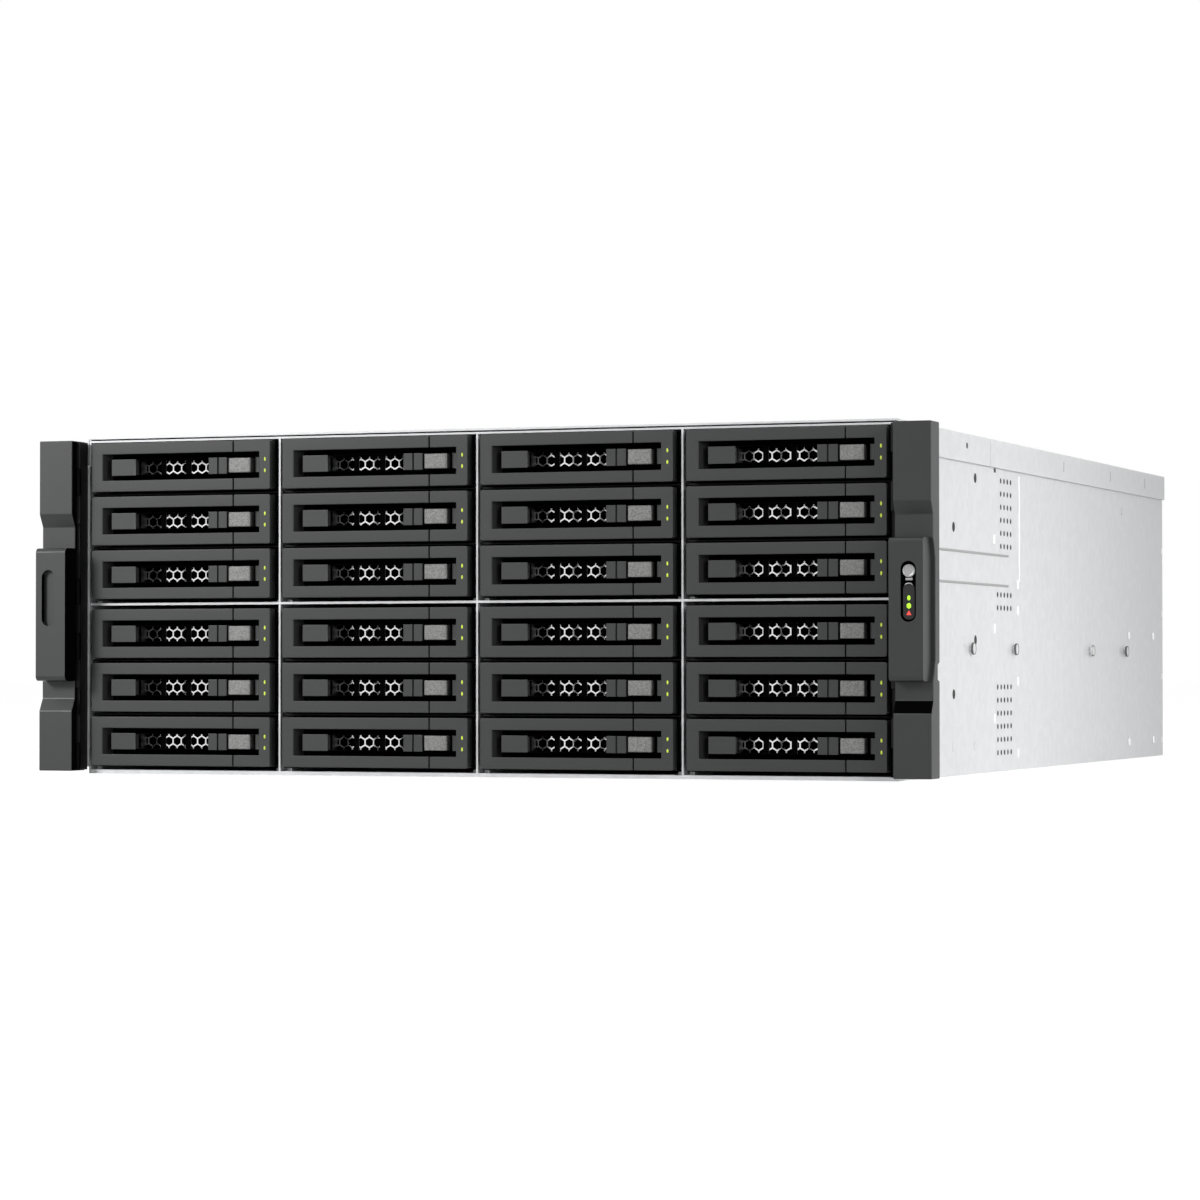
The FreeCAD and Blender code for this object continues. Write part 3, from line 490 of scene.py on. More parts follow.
class SHELF_OT_levers(bpy.types.Operator):
    """Hinged bezel frames that open each tray"""
    bl_idname = "shelf.levers"
    bl_label = "Bezel levers"

    def execute(self, context):
        s = bezel_sizes()
        post, slope = 10.4, 4.1
        lever = start_block("lever_model", (0, 0, 0), (post, s["depth"], s["height"]))
        slice_at("Z", (s["recess_low"], s["recess_high"]))
        for low, high in ((0, s["recess_low"]), (s["recess_high"], s["height"])):
            pick_faces(lever, (post, 0, low), (post, s["depth"], high), (1, 0, 0))
            pull_out(x=s["seam"] - SEAM_GAP - post)
        # sloped wall at the left of the finger recess
        pick_points(lever, (post, 0, s["recess_low"]), (post, 0, s["recess_high"]))
        push(x=-slope)
        # the knuckle is cut away behind the hinge, so that the frame can swing
        pick_edges(lever, (0, s["depth"], 0), (0, s["depth"], s["height"]), (0, 0, 1))
        round_picked(1.8, 1)
        for z in (0, s["height"]):
            pick_edges(lever, (-1, 0, z), (1, s["depth"], z), (0, 1, 0))
            round_picked(s["corner"], 4)
        soften(lever, s["edge"], 3)
        repeat_in_cells(lever, "lever_frame", "lever plastic", "lever",
                        "lever", lever_shade)
        return {"FINISHED"}


def make_fixed_end(s):
    """Fixed right end of the bezel, with the recess open towards the lever."""
    near, post, deep = s["seam"] + SEAM_GAP, 96.7, 6.9
    end = start_block("fixed_end", (post, 0, 0), (s["width"], deep, s["height"]))
    slice_at("Z", (s["recess_low"], s["recess_high"]))
    for low, high in ((0, s["recess_low"]), (s["recess_high"], s["height"])):
        pick_faces(end, (post, 0, low), (post, deep, high), (-1, 0, 0))
        pull_out(x=near - post)
    for z in (0, s["height"]):
        pick_edges(end, (s["width"], 0, z), (s["width"], deep, z), (0, 1, 0))
        round_picked(s["corner"], 4)
    return soften(end, s["edge"], 3)


WINDOWS = ((25.4, 38.9), (41.9, 53.4), (56.4, 67.4))
STRIP_LOW, STRIP_HIGH, STRIP_RIM, STRIP_BACK = 8.3, 16.9, 0.4, 16.2
HOLLOW = (24.2, 68.6)


def tunnel(piece, low, high):
    """Join the front and back faces between two corners, so that they become a hole."""
    pick(piece, "FACE", low, high, lambda face, at: abs(face.normal.y) > 0.9
         and min(abs(at.y - low[1]), abs(at.y - high[1])) < TINY)
    bpy.ops.mesh.bridge_edge_loops()


def make_strip():
    """Raised strip, hollow behind its face, with three air windows and a groove."""
    left, right, face, deep, skin = 11.2, 77.9, 1.0, 3.2, 4.0
    groove = (72.4, 73.2)
    rim_low, rim_high = STRIP_LOW + STRIP_RIM, STRIP_HIGH - STRIP_RIM
    strip = start_block("strip", (left, face, STRIP_LOW), (right, STRIP_BACK, STRIP_HIGH))
    slice_at("X", [place for span in WINDOWS + (HOLLOW, groove) for place in span])
    slice_at("Z", (rim_low, rim_high))
    pick_faces(strip, (HOLLOW[0], STRIP_BACK, rim_low), (HOLLOW[1], STRIP_BACK, rim_high), (0, 1, 0))
    pull_out(y=skin - STRIP_BACK)
    pick_faces(strip, (WINDOWS[0][0], face, rim_low), (WINDOWS[-1][1], face, rim_high), (0, -1, 0))
    pull_out(y=deep - face)
    for near, far in WINDOWS:
        tunnel(strip, (near, deep, rim_low), (far, skin, rim_high))
    pick_faces(strip, (groove[0], face, STRIP_LOW), (groove[1], face, STRIP_HIGH), (0, -1, 0))
    pull_out(y=1.2)
    return soften(strip, 0.18, 2)


def make_carrier_frame(s):
    """Cross wall with side rails, the stop block, hinge lug and pin."""
    out_left, in_left, in_right, out_right = -1.5, 0.7, 102.3, 104.5
    front, back, rails_end = 6.7, 9.7, 176.5
    rail_low, rail_high = 3.75, 21.25
    wall = start_block("cross_wall", (out_left, front, 0.2), (out_right, back, s["height"] - 0.2))
    slice_at("X", (in_left, in_right) + HOLLOW)
    slice_at("Z", (rail_low, rail_high, STRIP_LOW, STRIP_HIGH))
    tunnel(wall, (HOLLOW[0], front, STRIP_LOW), (HOLLOW[1], back, STRIP_HIGH))
    for low, high in ((out_left, in_left), (in_right, out_right)):
        pick_faces(wall, (low, back, rail_low), (high, back, rail_high), (0, 1, 0))
        pull_out(y=rails_end - back)
        # the rail's tip is drawn in, so that it finds its runner
        bpy.ops.transform.resize(value=(1.0, 1.0, 0.8))
    soften(wall, 0.3, 2)
    block = faced_block("stop_block", (94.4, 0.9, 8.9), (96.5, front + 0.2, 16.5), "Y", -1,
                        0.4, -0.3, 0.15)
    corner, far_corner = (1.3, 2.4, 6.5), (3.9, front + 0.2, 18.9)
    lug = start_block("hinge_lug", corner, far_corner)
    pick_edges(lug, corner, (far_corner[0], corner[1], far_corner[2]), (0, 0, 1))
    round_picked(1.2, 4)
    soften(lug, 0.2, 1)
    pin = start_round("hinge_pin", (2.6, 3.7, 12.7), 0.95, 18.8, "Z", 16)
    for z, way in ((3.3, -1), (22.1, 1)):
        pick_side(pin, "Z", z, way)
        inset(0.3)
        push(z=-0.2 * way)
    return [wall, block, lug, soften(pin, 0.2, 1)]


def in_shade(at, normal):
    """Painted shade, coloured black: the faces of a tray front that lie deep in its recess, the
    channels, the posts and the rims.
    """
    deep, skin, end = 2.5, 0.8, 17.0
    if normal.y < -0.7:
        rims = (STRIP_LOW < at.z < STRIP_HIGH
                and not STRIP_LOW + STRIP_RIM < at.z < STRIP_HIGH - STRIP_RIM)
        return at.y > deep or (rims and WINDOWS[0][0] < at.x < WINDOWS[-1][1])
    return abs(normal.z) > 0.7 and skin < at.y < end and SHADE_LOW < at.z < SHADE_HIGH


class SHELF_OT_trays(bpy.types.Operator):
    """Tray fronts with their window strip, cross wall and rails"""
    bl_idname = "shelf.trays"
    bl_label = "Trays"

    def execute(self, context):
        s = bezel_sizes()
        pieces = [make_fixed_end(s), make_strip()] + make_carrier_frame(s)
        tray = join(pieces, "tray_model")
        repeat_in_cells(tray, "tray_frame", "tray plastic", "tray",
                        "tray", in_shade)
        return {"FINISHED"}


class SHELF_OT_release_tabs(bpy.types.Operator):
    """Silver release tabs, set back a little from the bezel's face"""
    bl_idname = "shelf.release_tabs"
    bl_label = "Release tabs"

    def execute(self, context):
        left, right, face, low, high = 78.8, 91.2, 0.9, 8.9, 16.5
        tab = start_block("tab_model", (left, face, low), (right, 6.7, high))
        slice_at("X", (left + 1.4, right - 1.4))
        # the face falls away slightly towards both ends
        for x in (left, right):
            pick_points(tab, (x, face, low), (x, face, high))
            push(y=0.25)
        soften(tab, 0.45, 3, 60.0)
        repeat_in_cells(tab, "release_tab", "release tab paint", "tray")
        return {"FINISHED"}


class SHELF_OT_screens(bpy.types.Operator):
    """Steel air screens with hexagonal holes behind the windows"""
    bl_idname = "shelf.screens"
    bl_label = "Air screens"

    def execute(self, context):
        s = bezel_sizes()
        pitch, strand = s["screen_pitch"], s["screen_strand"]
        left, right, low, high = 23.4, 69.4, STRIP_LOW + 0.3, STRIP_HIGH - 0.3
        front = STRIP_BACK + 0.4
        sheet = 0.3
        rise = pitch * math.sqrt(3) / 2
        ring = pitch / math.sqrt(3)
        hole = (pitch - strand) / math.sqrt(3)
        mesh = bmesh.new()
        middle_x, middle_z = 32.25, (STRIP_LOW + STRIP_HIGH) / 2
        corner_angles = [math.radians(30 + 60 * k) for k in range(6)]
        for row in range(-2, 3):
            for column in range(-3, 10):
                x = middle_x + (column + 0.5 * (row % 2)) * pitch
                z = middle_z + row * rise
                outer, inner = [[mesh.verts.new(((x + r * math.cos(a)) * MM, front * MM,
                                                 (z + r * math.sin(a)) * MM)) for a in corner_angles]
                                for r in (ring, hole)]
                for k in range(6):
                    n = (k + 1) % 6
                    mesh.faces.new((outer[k], outer[n], inner[n], inner[k]))
        data = bpy.data.meshes.new("screen_model")
        mesh.to_mesh(data)
        mesh.free()
        screen = new_object("screen_model", data)
        edit(screen)
        pick_all()
        bpy.ops.mesh.remove_doubles(threshold=0.01 * MM)
        for axis, near, far in (("X", left, right), ("Z", low, high)):
            slice_at(axis, (near,), clear_inner=True)
            slice_at(axis, (far,), clear_outer=True)
        pick_all()
        bpy.ops.mesh.normals_make_consistent(inside=False)
        done()
        solid = screen.modifiers.new("Sheet", "SOLIDIFY")
        solid.thickness = sheet * MM
        solid.offset = 0.0
        bpy.ops.object.modifier_apply(modifier=solid.name)
        repeat_in_cells(screen, "air_screen", "screen steel", "tray")
        return {"FINISHED"}


class SHELF_OT_drive_lamps(bpy.types.Operator):
    """Two lamps at the right end of each bezel"""
    bl_idname = "shelf.drive_lamps"
    bl_label = "Drive lamps"

    def execute(self, context):
        lenses, x = [], 100.1
        for z in (9.7, 15.5):
            lens = start_round("lens", (x, 0.15, z), 0.5, 0.5, "Y", 16)
            pick_side(lens, "Y", -0.1, -1)
            inset(0.15)
            push(y=-0.08)
            pick_all()
            bpy.ops.transform.resize(value=(1.0, 1.0, 2.0), center_override=(x * MM, 0, z * MM))
            lenses.append(soften(lens, 0.05, 1))
        lamps = join(lenses, "lamp_model")
        repeat_in_cells(lamps, "drive_lamps", "drive lamp", "tray")
        return {"FINISHED"}


class SHELF_OT_disks(bpy.types.Operator):
    """Disk drives in their trays"""
    bl_idname = "shelf.disks"
    bl_label = "Disks"

    def execute(self, context):
        left, right, low, cover, front, back = 0.75, 102.25, -0.3, 25.0, 18.5, 165.5
        disk = start_block("disk_model", (left, front, low), (right, back, cover))
        pick_side(disk, "Z", cover, 1)
        inset(3.0)
        pull_out(z=0.8)
        inset(6.0)
        pull_out(z=-0.4)
        pick_edges(disk, (left, front, low), (right, back, cover + 1), (0, 0, 1))
        round_picked(1.8, 3)
        soften(disk, 0.25, 2)
        # painted shade: the end that faces the air screen is coloured black
        repeat_in_cells(disk, "disk", "disk casting", "tray",
                        dark=lambda at, normal: normal.y < -0.7)
        return {"FINISHED"}


# ---- ears ----

FRONT = -303.1
SIDES = ((-1, "left"), (1, "right"))
EAR_INNER, EAR_OUTER = 222.2, 241.3
HANDLE_FACE, HANDLE_LOW, HANDLE_HIGH = FRONT - 22.5, 48.4, 117.5
SLOT_MIDDLE, SLOT_HALF, SLOT_LOW, SLOT_HIGH = 232.0, 3.8, 76.9, 106.1
LEFT_SLOT_DEPTH, RIGHT_SLOT_DEPTH = 3.0, 1.6
BUTTON_HEIGHT = 101.4
# (height, distance in front of the front plane) of the bends in an ear's flank
REACH, HOLLOW_REACH, MIDDLE_REACH, WAIST_REACH = -15.0, -11.5, -9.5, -7.5
BENDS = ((32.7, REACH), (39.2, HOLLOW_REACH), (48.4, HOLLOW_REACH), (51.9, MIDDLE_REACH),
         (58.4, WAIST_REACH), (107.5, WAIST_REACH), (114.0, MIDDLE_REACH), (117.5, HOLLOW_REACH),
         (128.8, HOLLOW_REACH), (135.3, REACH))
# the notch in the rear edge of a flank: further cuts, the heights it covers and its depth
EXTRA_CUTS, NOTCH, NOTCH_DEPTH = (44.2, 49.2, 56.3, 57.8), (49.2, 51.9, 56.3), 3.2


def make_ear_flank(side):
    """Flank of an ear: a box cut across at the heights of its bends, with its front pushed back."""
    x = sorted((side * EAR_INNER, side * EAR_OUTER))
    flank = start_block("flank", (x[0], FRONT + REACH, 1.5), (x[1], FRONT, 173.7))
    slice_at("Z", [z for z, y in BENDS])
    slice_at("Z", EXTRA_CUTS)

    def push_front(z, y):
        pick_points(flank, (x[0], FRONT + REACH, z), (x[1], FRONT + REACH, z))
        push(y=y - REACH)

    for z, y in BENDS:
        push_front(z, y)
    # the points between two bends of the hollow follow it
    for z in EXTRA_CUTS:
        lower = max(b for b in BENDS if b[0] <= z)
        upper = min(b for b in BENDS if b[0] > z)
        share = (z - lower[0]) / (upper[0] - lower[0])
        push_front(z, lower[1] + share * (upper[1] - lower[1]))
    for z in NOTCH:
        pick_points(flank, (x[0], FRONT, z), (x[1], FRONT, z))
        push(y=-NOTCH_DEPTH)
    done()
    # room for the steel rack flange
    x = sorted((side * (EAR_INNER - 1.0), side * 237.8))
    carve(flank, start_block("flange_room", (x[0], FRONT - 1.8, 3.2), (x[1], FRONT + 1.0, 161.1)))
    return soften(flank, 1.1, 3, 20.0)


def carve(piece, tool):
    """Cut a tool out of a piece."""
    done()
    select_only(piece)
    cutter = piece.modifiers.new("Cut", "BOOLEAN")
    cutter.object = tool
    cutter.operation = "DIFFERENCE"
    cutter.solver = "EXACT"
    bpy.ops.object.modifier_apply(modifier=cutter.name)
    bpy.data.objects.remove(tool)


def slot_tool(side, depth):
    """Cutter for the rounded slot in a handle's face."""
    front, back, middle = HANDLE_FACE - 2, HANDLE_FACE + depth, side * SLOT_MIDDLE
    edges = (middle - SLOT_HALF, middle + SLOT_HALF)
    tool = start_block("slot_tool", (edges[0], front, SLOT_LOW), (edges[1], back, SLOT_HIGH))
    for x in edges:
        for z in (SLOT_LOW, SLOT_HIGH):
            pick_edges(tool, (x, front, z), (x, back, z), (0, 1, 0))
            round_picked(3.75, 8)
    done()
    return tool


def make_ear_handle(side):
    """Handle block with a rounded slot, narrower than the flank; the right one has a bore for the
    button.
    """
    x = sorted((side * EAR_INNER, side * (EAR_OUTER - 2.0)))
    handle = start_block("handle", (x[0], HANDLE_FACE, HANDLE_LOW), (x[1], FRONT - 4.0, HANDLE_HIGH))
    for z in (HANDLE_LOW, HANDLE_HIGH):
        pick_edges(handle, (x[0], HANDLE_FACE, z), (x[1], HANDLE_FACE, z), (1, 0, 0))
        round_picked(2.6, 5)
    for edge, radius in ((x[0], 1.0), (x[1], 1.4)):
        pick_edges(handle, (edge, HANDLE_FACE, HANDLE_LOW), (edge, HANDLE_FACE, HANDLE_HIGH), (0, 0, 1))
        round_picked(radius, 3)
    done()
    carve(handle, slot_tool(side, RIGHT_SLOT_DEPTH if side > 0 else LEFT_SLOT_DEPTH))
    if side > 0:
        carve(handle, start_round("bore", (SLOT_MIDDLE, HANDLE_FACE + 5, BUTTON_HEIGHT), 3.2, 10.0,
                                  "Y", 48))
    return soften(handle, 0.35, 2, 50.0)


def ear_shade(side):
    """Test for an ear's painted shade, coloured black: the inner side, on the right also the slot and a
    bend.
    """
    def black(at, normal):
        inner = normal.x * side < -0.9
        in_slot = (abs(at.x - SLOT_MIDDLE) < SLOT_HALF + 0.1
                   and SLOT_LOW - 0.1 < at.z < SLOT_HIGH + 0.1
                   and HANDLE_FACE + 0.3 < at.y < FRONT - 12.0)
        lower_bend = normal.z > 0.3 and 33.0 < at.z < 39.0 and at.y < FRONT - 8.0
        return inner or (side > 0 and (in_slot or lower_bend))
    return black


def make_ear_trim(side, name):
    """Upright strip beside the bezels, with every other step of its face set back; painted shade: a
    black strip in the gap between the ear and the bezels, over the steel flange.
    """
    steps, low, rise, front = 12, 2.0, 14.3, FRONT - 10.5
    x = sorted((side * 219.95, side * EAR_INNER))
    trim = start_block(f"ear_trim_{name}", (x[0], front, low), (x[1], FRONT - 1.6, 173.2))
    slice_at("Z", [low + rise * step for step in range(1, steps)])
    for step in range(0, steps, 2):
        pick_faces(trim, (x[0], front, low + rise * step), (x[1], front, low + rise * (step + 1)),
                   (0, -1, 0))
        pull_out(y=1.5)
    return soften(trim, 0.2, 1)


class SHELF_OT_ears(bpy.types.Operator):
    """Moulded ears with their handle blocks"""
    bl_idname = "shelf.ears"
    bl_label = "Ears"

    def execute(self, context):
        for side, name in SIDES:
            ear = join([make_ear_flank(side), make_ear_handle(side)], f"ear_cover_{name}")
            finish_piece(ear, "ear plastic", replaced=f"{name}_ear")
            # painted shade: the faces that ear_shade picks are coloured black
            paint_shade(ear, ear_shade(side))
            # painted shade: a black strip in the gap beside the bezels
            finish_piece(make_ear_trim(side, name), "panel plastic and painted shade")
        return {"FINISHED"}


# name, height, sides, radius, upright stretch and material of each lamp in the control slot
CONTROL_LAMPS = (("lamp_power", 88.4, 10, 0.8, 1.5, "green lamp"),
                 ("lamp_link", 84.6, 6, 1.2, 1.2, "green lamp"),
                 ("lamp_fault", 80.9, 3, 1.5, 1.0, "red lamp"))


class SHELF_OT_controls(bpy.types.Operator):
    """Power button, status lamps and their window in the right ear"""
    bl_idname = "shelf.controls"
    bl_label = "Ear controls"

    def execute(self, context):
        low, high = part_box("power_button")
        # the cap ends a little short, so that it clears its bore when pressed
        face, back = low.y / MM, high.y / MM - 0.6
        button = start_round("power_cap", (SLOT_MIDDLE, (face + back) / 2, BUTTON_HEIGHT), 3.1,
                             back - face, "Y", 48)
        pick_side(button, "Y", face, -1)
        inset(0.5)
        pull_out(y=0.25)
        inset(1.0)
        push(y=0.15)
        soften(button, 0.15, 2, 50.0)
        finish_piece(button, "button metal", "power_button", "power_button")

        floor = HANDLE_FACE + RIGHT_SLOT_DEPTH
        left, right, low, high = SLOT_MIDDLE - 2.9, SLOT_MIDDLE + 2.9, 78.0, 95.4
        front, back = floor - 0.5, floor + 0.2
        panel = start_block("control_panel", (left, front, low), (right, back, high))
        for x in (left, right):
            for z in (low, high):
                pick_edges(panel, (x, front, z), (x, back, z), (0, 1, 0))
                round_picked(2.6, 6)
        pick_side(panel, "Y", front, -1)
        inset(0.35)
        pull_out(y=0.2)
        soften(panel, 0.08, 1)
        finish_piece(panel, "lamp panel")

        # a bright lip above the lamps and a small catch under the button
        left, right, front, low, high = SLOT_MIDDLE - 1.9, SLOT_MIDDLE + 1.9, floor - 0.75, 95.1, 95.7
        lip = start_block("control_lip", (left, front, low), (right, floor, high))
        slice_at("X", (left + 1.0, right - 1.0))
        for x in (left, right):
            pick_points(lip, (x, front, low), (x, floor, high))
            push(z=-0.7)
        soften(lip, 0.12, 2)
        catch = faced_block("catch", (SLOT_MIDDLE - 1.6, floor - 0.9, 96.8), (right, floor, 98.0),
                            "Y", -1, 0.3, 0.15, 0.12, 2)
        finish_piece(join([lip, catch], "control_trims"), "button metal")

        for name, z, sides, radius, stretch, material in CONTROL_LAMPS:
            lamp = start_round(name, (SLOT_MIDDLE, floor - 0.45, z), radius, 0.5, "Y", sides)
            pick_side(lamp, "Y", floor - 0.7, -1)
            inset(0.25)
            push(y=-0.1)
            pick_all()
            bpy.ops.transform.resize(value=(1.0, 1.0, stretch), center_override=(0, 0, z * MM))
            soften(lamp, 0.06, 1)
            finish_piece(lamp, material)
        return {"FINISHED"}


# outer faces of the side walls and of the top cover's lips, from the middle
WALL, LIP = 219.9, 221.2
ROWS_ON_THIN_SHELVES = (2, 3, 5, 6)
# heights of the groups of side air slots, and their reach behind the front plane
SLOT_GROUPS, SLOT_REACH = ((114.0, 160.0), (80.0, 99.0), (5.0, 50.0)), (186.0, 226.0)


class SHELF_OT_painted_gap_shade(bpy.types.Operator):
    """Painted shade: black strips on the front edges of the thin shelves, and dark plates behind the
    side air slots
    """
    bl_idname = "shelf.gap_seals"
    bl_label = "Painted gap shade"

    def execute(self, context):
        shade_pieces = []
        # painted shade: a black strip over the front edge of each thin shelf, where the gap between two
        # rows lies in shade
        for row in ROWS_ON_THIN_SHELVES:
            for column in COLUMNS:
                corner = cell_corner(row, column) / MM
                z = corner.z - 1.25
                shade_pieces.append(faced_block("shade_strip", (corner.x - 2.7, FRONT + 2.9, z - 0.6),
                                         (corner.x + 105.6, FRONT + 3.98, z + 0.6),
                                         "Y", -1, 0.3, 0.3, 0.1))
        # painted shade: dark plates just behind the side air slots
        for side, _ in SIDES:
            x = sorted((side * (WALL - 0.45), side * (WALL - 0.60)))
            for low, high in SLOT_GROUPS:
                back = start_block("slot_shade_plate", (x[0], FRONT + SLOT_REACH[0], low),
                                   (x[1], FRONT + SLOT_REACH[1], high))
                slice_at("Z", ((low + high) / 2,))
                shade_pieces.append(soften(back, 0.02, 1))
        finish_piece(join(shade_pieces, "gap_seals"), "panel plastic and painted shade")
        return {"FINISHED"}


# ---- rear sockets ----

REAR = FRONT + 602.7
# middle, width and height of each data socket, and the height of their lower edge
DATA_SOCKETS, SOCKET_LOW = ((-44.0, 34.0, 12.0), (0.0, 16.0, 13.5), (44.0, 34.0, 12.0)), 9.6
SUPPLY_MIDDLE, INLET_SHIFT, INLET_HEIGHT = 176.0, 17.0, 15.8
INLET_PINS = ((-5.5, -2.0), (0.0, 2.0), (5.5, -2.0))


def data_socket(x, width, height):
    """A socket shell open to the rear, a little over its opening's edge, and its tongue."""
    left, right, low, high = x - width / 2, x + width / 2, SOCKET_LOW, SOCKET_LOW + height
    over, deep, tongue, proud = 0.4, 2.6, 3.0, REAR + 1.25
    shell = faced_block("data_socket", (left - over, REAR - 2.0, low - over),
                        (right + over, proud, high + over), "Y", 1, 0.9, -deep, 0.12, 2, walled=True)
    middle = (low + high) / 2
    bar = faced_block("data_tongue", (left + tongue, proud - deep - 0.1, middle - 0.8),
                      (right - tongue, proud - 0.8, middle + 0.8), "Y", 1, 0.3, -0.2, 0.1)
    return shell, bar


class SHELF_OT_sockets(bpy.types.Operator):
    """Data sockets in the rear panel and the inlets of the power supplies"""
    bl_idname = "shelf.sockets"
    bl_label = "Rear sockets"

    def execute(self, context):
        shells, tongues = zip(*[data_socket(*place) for place in DATA_SOCKETS])
        finish_piece(join(shells, "data_sockets"), "supply steel")
        finish_piece(join(tongues, "data_tongues"), "panel plastic and painted shade")
        for side, name in SIDES:
            x = side * SUPPLY_MIDDLE + INLET_SHIFT
            rim = faced_block(f"inlet_rim_{name}", (x - 13.7, REAR - 6.0, INLET_HEIGHT - 9.9),
                              (x + 13.7, REAR + 0.4, INLET_HEIGHT + 9.9), "Y", 1, 1.6, -5.2, 0.3, 2,
                              walled=True)
            finish_piece(rim, "panel plastic and painted shade", f"psu_{name}")
            pins = [faced_block("inlet_pin", (x + dx - 0.9, REAR - 5.0, INLET_HEIGHT + dz - 2.4),
                                (x + dx + 0.9, REAR - 0.8, INLET_HEIGHT + dz + 2.4),
                                "Y", 1, 0.4, 0.4, 0.15) for dx, dz in INLET_PINS]
            finish_piece(join(pins, f"inlet_pins_{name}"), "button metal",
                         f"psu_{name}")
        return {"FINISHED"}


# ---- pressed marks on the side walls ----

# (distance behind the front plane, height) of each mark
LANCES = ((234.0, 100.0), (234.0, 86.0), (234.0, 47.6), (234.0, 9.1), (184.0, 123.2),
          (184.0, 75.8), (184.0, 28.1))
DIMPLES = ((102.9, 14.6), (145.5, 14.2), (488.4, 149.5))
STUDS = ((135.8, 65.0), (224.9, 65.0), (404.0, 65.0), (493.0, 65.0))
RIVETS = ((504.8, 74.7), (572.9, 74.8), (505.0, 10.3), (573.1, 10.5))
LIP_SLITS = ((336.0, 169.0), (452.5, 169.0), (546.7, 169.0))
LIP_HOLES = ((126.0, 169.6),)
WALL_SLITS = ((187.0, 159.7),)
CREASES = ((117.0, 98.8), (117.0, 114.9))
SEAMS = ((238.0, 130.2),)
EDGE_NOTCHES = ((600.8, 128.7), (600.8, 89.2), (600.8, 49.7), (600.8, 9.9))
FIXINGS = ((104.0, 41.5), (104.0, 126.9), (146.8, 69.4), (146.8, 153.8))
# lowest row, rows, first column and columns of each group of air holes
AIR_HOLES = ((119.8, 6, 1, 4), (86.9, 2, 0, 5), (9.9, 6, 0, 5))
AIR_START, AIR_STEP, AIR_RISE = 192.0, 7.0, 6.98
# how far a mark reaches into its wall, and how proud a flat dark mark stands
BURIED, FLAT = 0.05, 0.06


def wall_blocks(side, surface, proud, places, half, soft):
    """Soft-edged raised marks on a side wall, each of a half depth and height round its place."""
    x = sorted((side * (surface - BURIED), side * (surface + proud)))
    return [faced_block("mark", (x[0], FRONT + y - half[0], z - half[1]),
                        (x[1], FRONT + y + half[0], z + half[1]), "X", side, soft, 0.0,
                        min(0.4 * proud, 0.2)) for y, z in places]


def wall_discs(side, surface, proud, places, radius, dish):
    """Round marks with a dished middle."""
    discs = []
    for y, z in places:
        disc = start_round("mark", (side * (surface + (proud - BURIED) / 2), FRONT + y, z), radius,
                           proud + BURIED, "X", 20)
        pick_side(disc, "X", side * (surface + proud), side)
        inset(0.35 * radius)
        push(x=-side * dish)
        discs.append(soften(disc, 0.08, 1, 50.0))
    return discs


def air_covers(side):
    """Thin plates over the slots, one for each group of air holes."""
    covers = []
    for low, rows, first, columns in AIR_HOLES:
        half_y, half_z = (columns - 1) * AIR_STEP / 2, (rows - 1) * AIR_RISE / 2
        middle = (AIR_START + first * AIR_STEP + half_y, low + half_z)
        covers += wall_blocks(side, WALL, 0.08, (middle,), (half_y + 2.6, half_z + 3.4), 0.3)
    return covers


def air_holes(side):
    """Painted shade: dark discs for the mouths of the round air holes, just over the covers of the
    slots.
    """
    mouths = []
    for low, rows, first, columns in AIR_HOLES:
        for row in range(rows):
            for column in range(first, first + columns):
                y, z = AIR_START + column * AIR_STEP, low + row * AIR_RISE
                disc = start_round("mark", (side * (WALL + 0.09), FRONT + y, z), 1.45, 0.1, "X", 12)
                pick_side(disc, "X", side * (WALL + 0.14), side)
                inset(0.25)
                push(x=-side * 0.04)
                done()
                mouths.append(disc)
    return mouths


class SHELF_OT_wall_marks(bpy.types.Operator):
    """Air holes, creases, lances, dimples, studs and rivets of the side walls"""
    bl_idname = "shelf.wall_marks"
    bl_label = "Wall marks"

    def execute(self, context):
        for side, name in SIDES:
            groups = (
                ("wall_marks", "galvanised sheet",
                 air_covers(side) + wall_discs(side, WALL, 0.3, DIMPLES, 2.4, 0.25)),
                # painted shade: darker raised lines stand for the shade in the creases, and flat marks
                # for the shade in the lip slits
                ("wall_creases", "painted shade steel",
                 wall_blocks(side, WALL, 0.55, CREASES, (97.0, 0.6), 0.2)
                 + wall_blocks(side, LIP, FLAT, LIP_SLITS, (0.6, 3.0), 0.1)),
                # painted highlight: white marks stand for the lit edges of the seam, the lances and the
                # edge notches
                ("painted_highlights", "painted highlight",
                 wall_blocks(side, WALL, 0.45, SEAMS, (1.2, 28.8), 0.3)
                 + wall_blocks(side, WALL, 0.9, LANCES, (0.9, 2.6), 0.4)
                 + wall_blocks(side, WALL, FLAT, EDGE_NOTCHES, (1.8, 1.8), 0.1)),
                ("stud_heads", "stud steel", wall_discs(side, WALL + 1.4, 1.2, STUDS, 3.2, 0.5)),
                ("wall_rivets", "screen steel", wall_discs(side, WALL, 0.7, RIVETS, 2.6, 0.1)),
                # painted shade: flat dark marks stand for the shade inside the lip hole, the wall slit
                # and the air holes; the fixings get flat dark discs too
                ("wall_slits", "panel plastic and painted shade",
                 wall_discs(side, LIP, FLAT, LIP_HOLES, 1.6, 0.04)
                 + wall_blocks(side, WALL, FLAT, WALL_SLITS, (2.0, 1.1), 0.1)
                 + wall_discs(side, WALL, FLAT, FIXINGS, 2.6, 0.04) + air_holes(side)))
            for kind, material, marks in groups:
                finish_piece(join(marks, f"{kind}_{name}"), material)
        return {"FINISHED"}


# ---- finishes of the imported parts ----

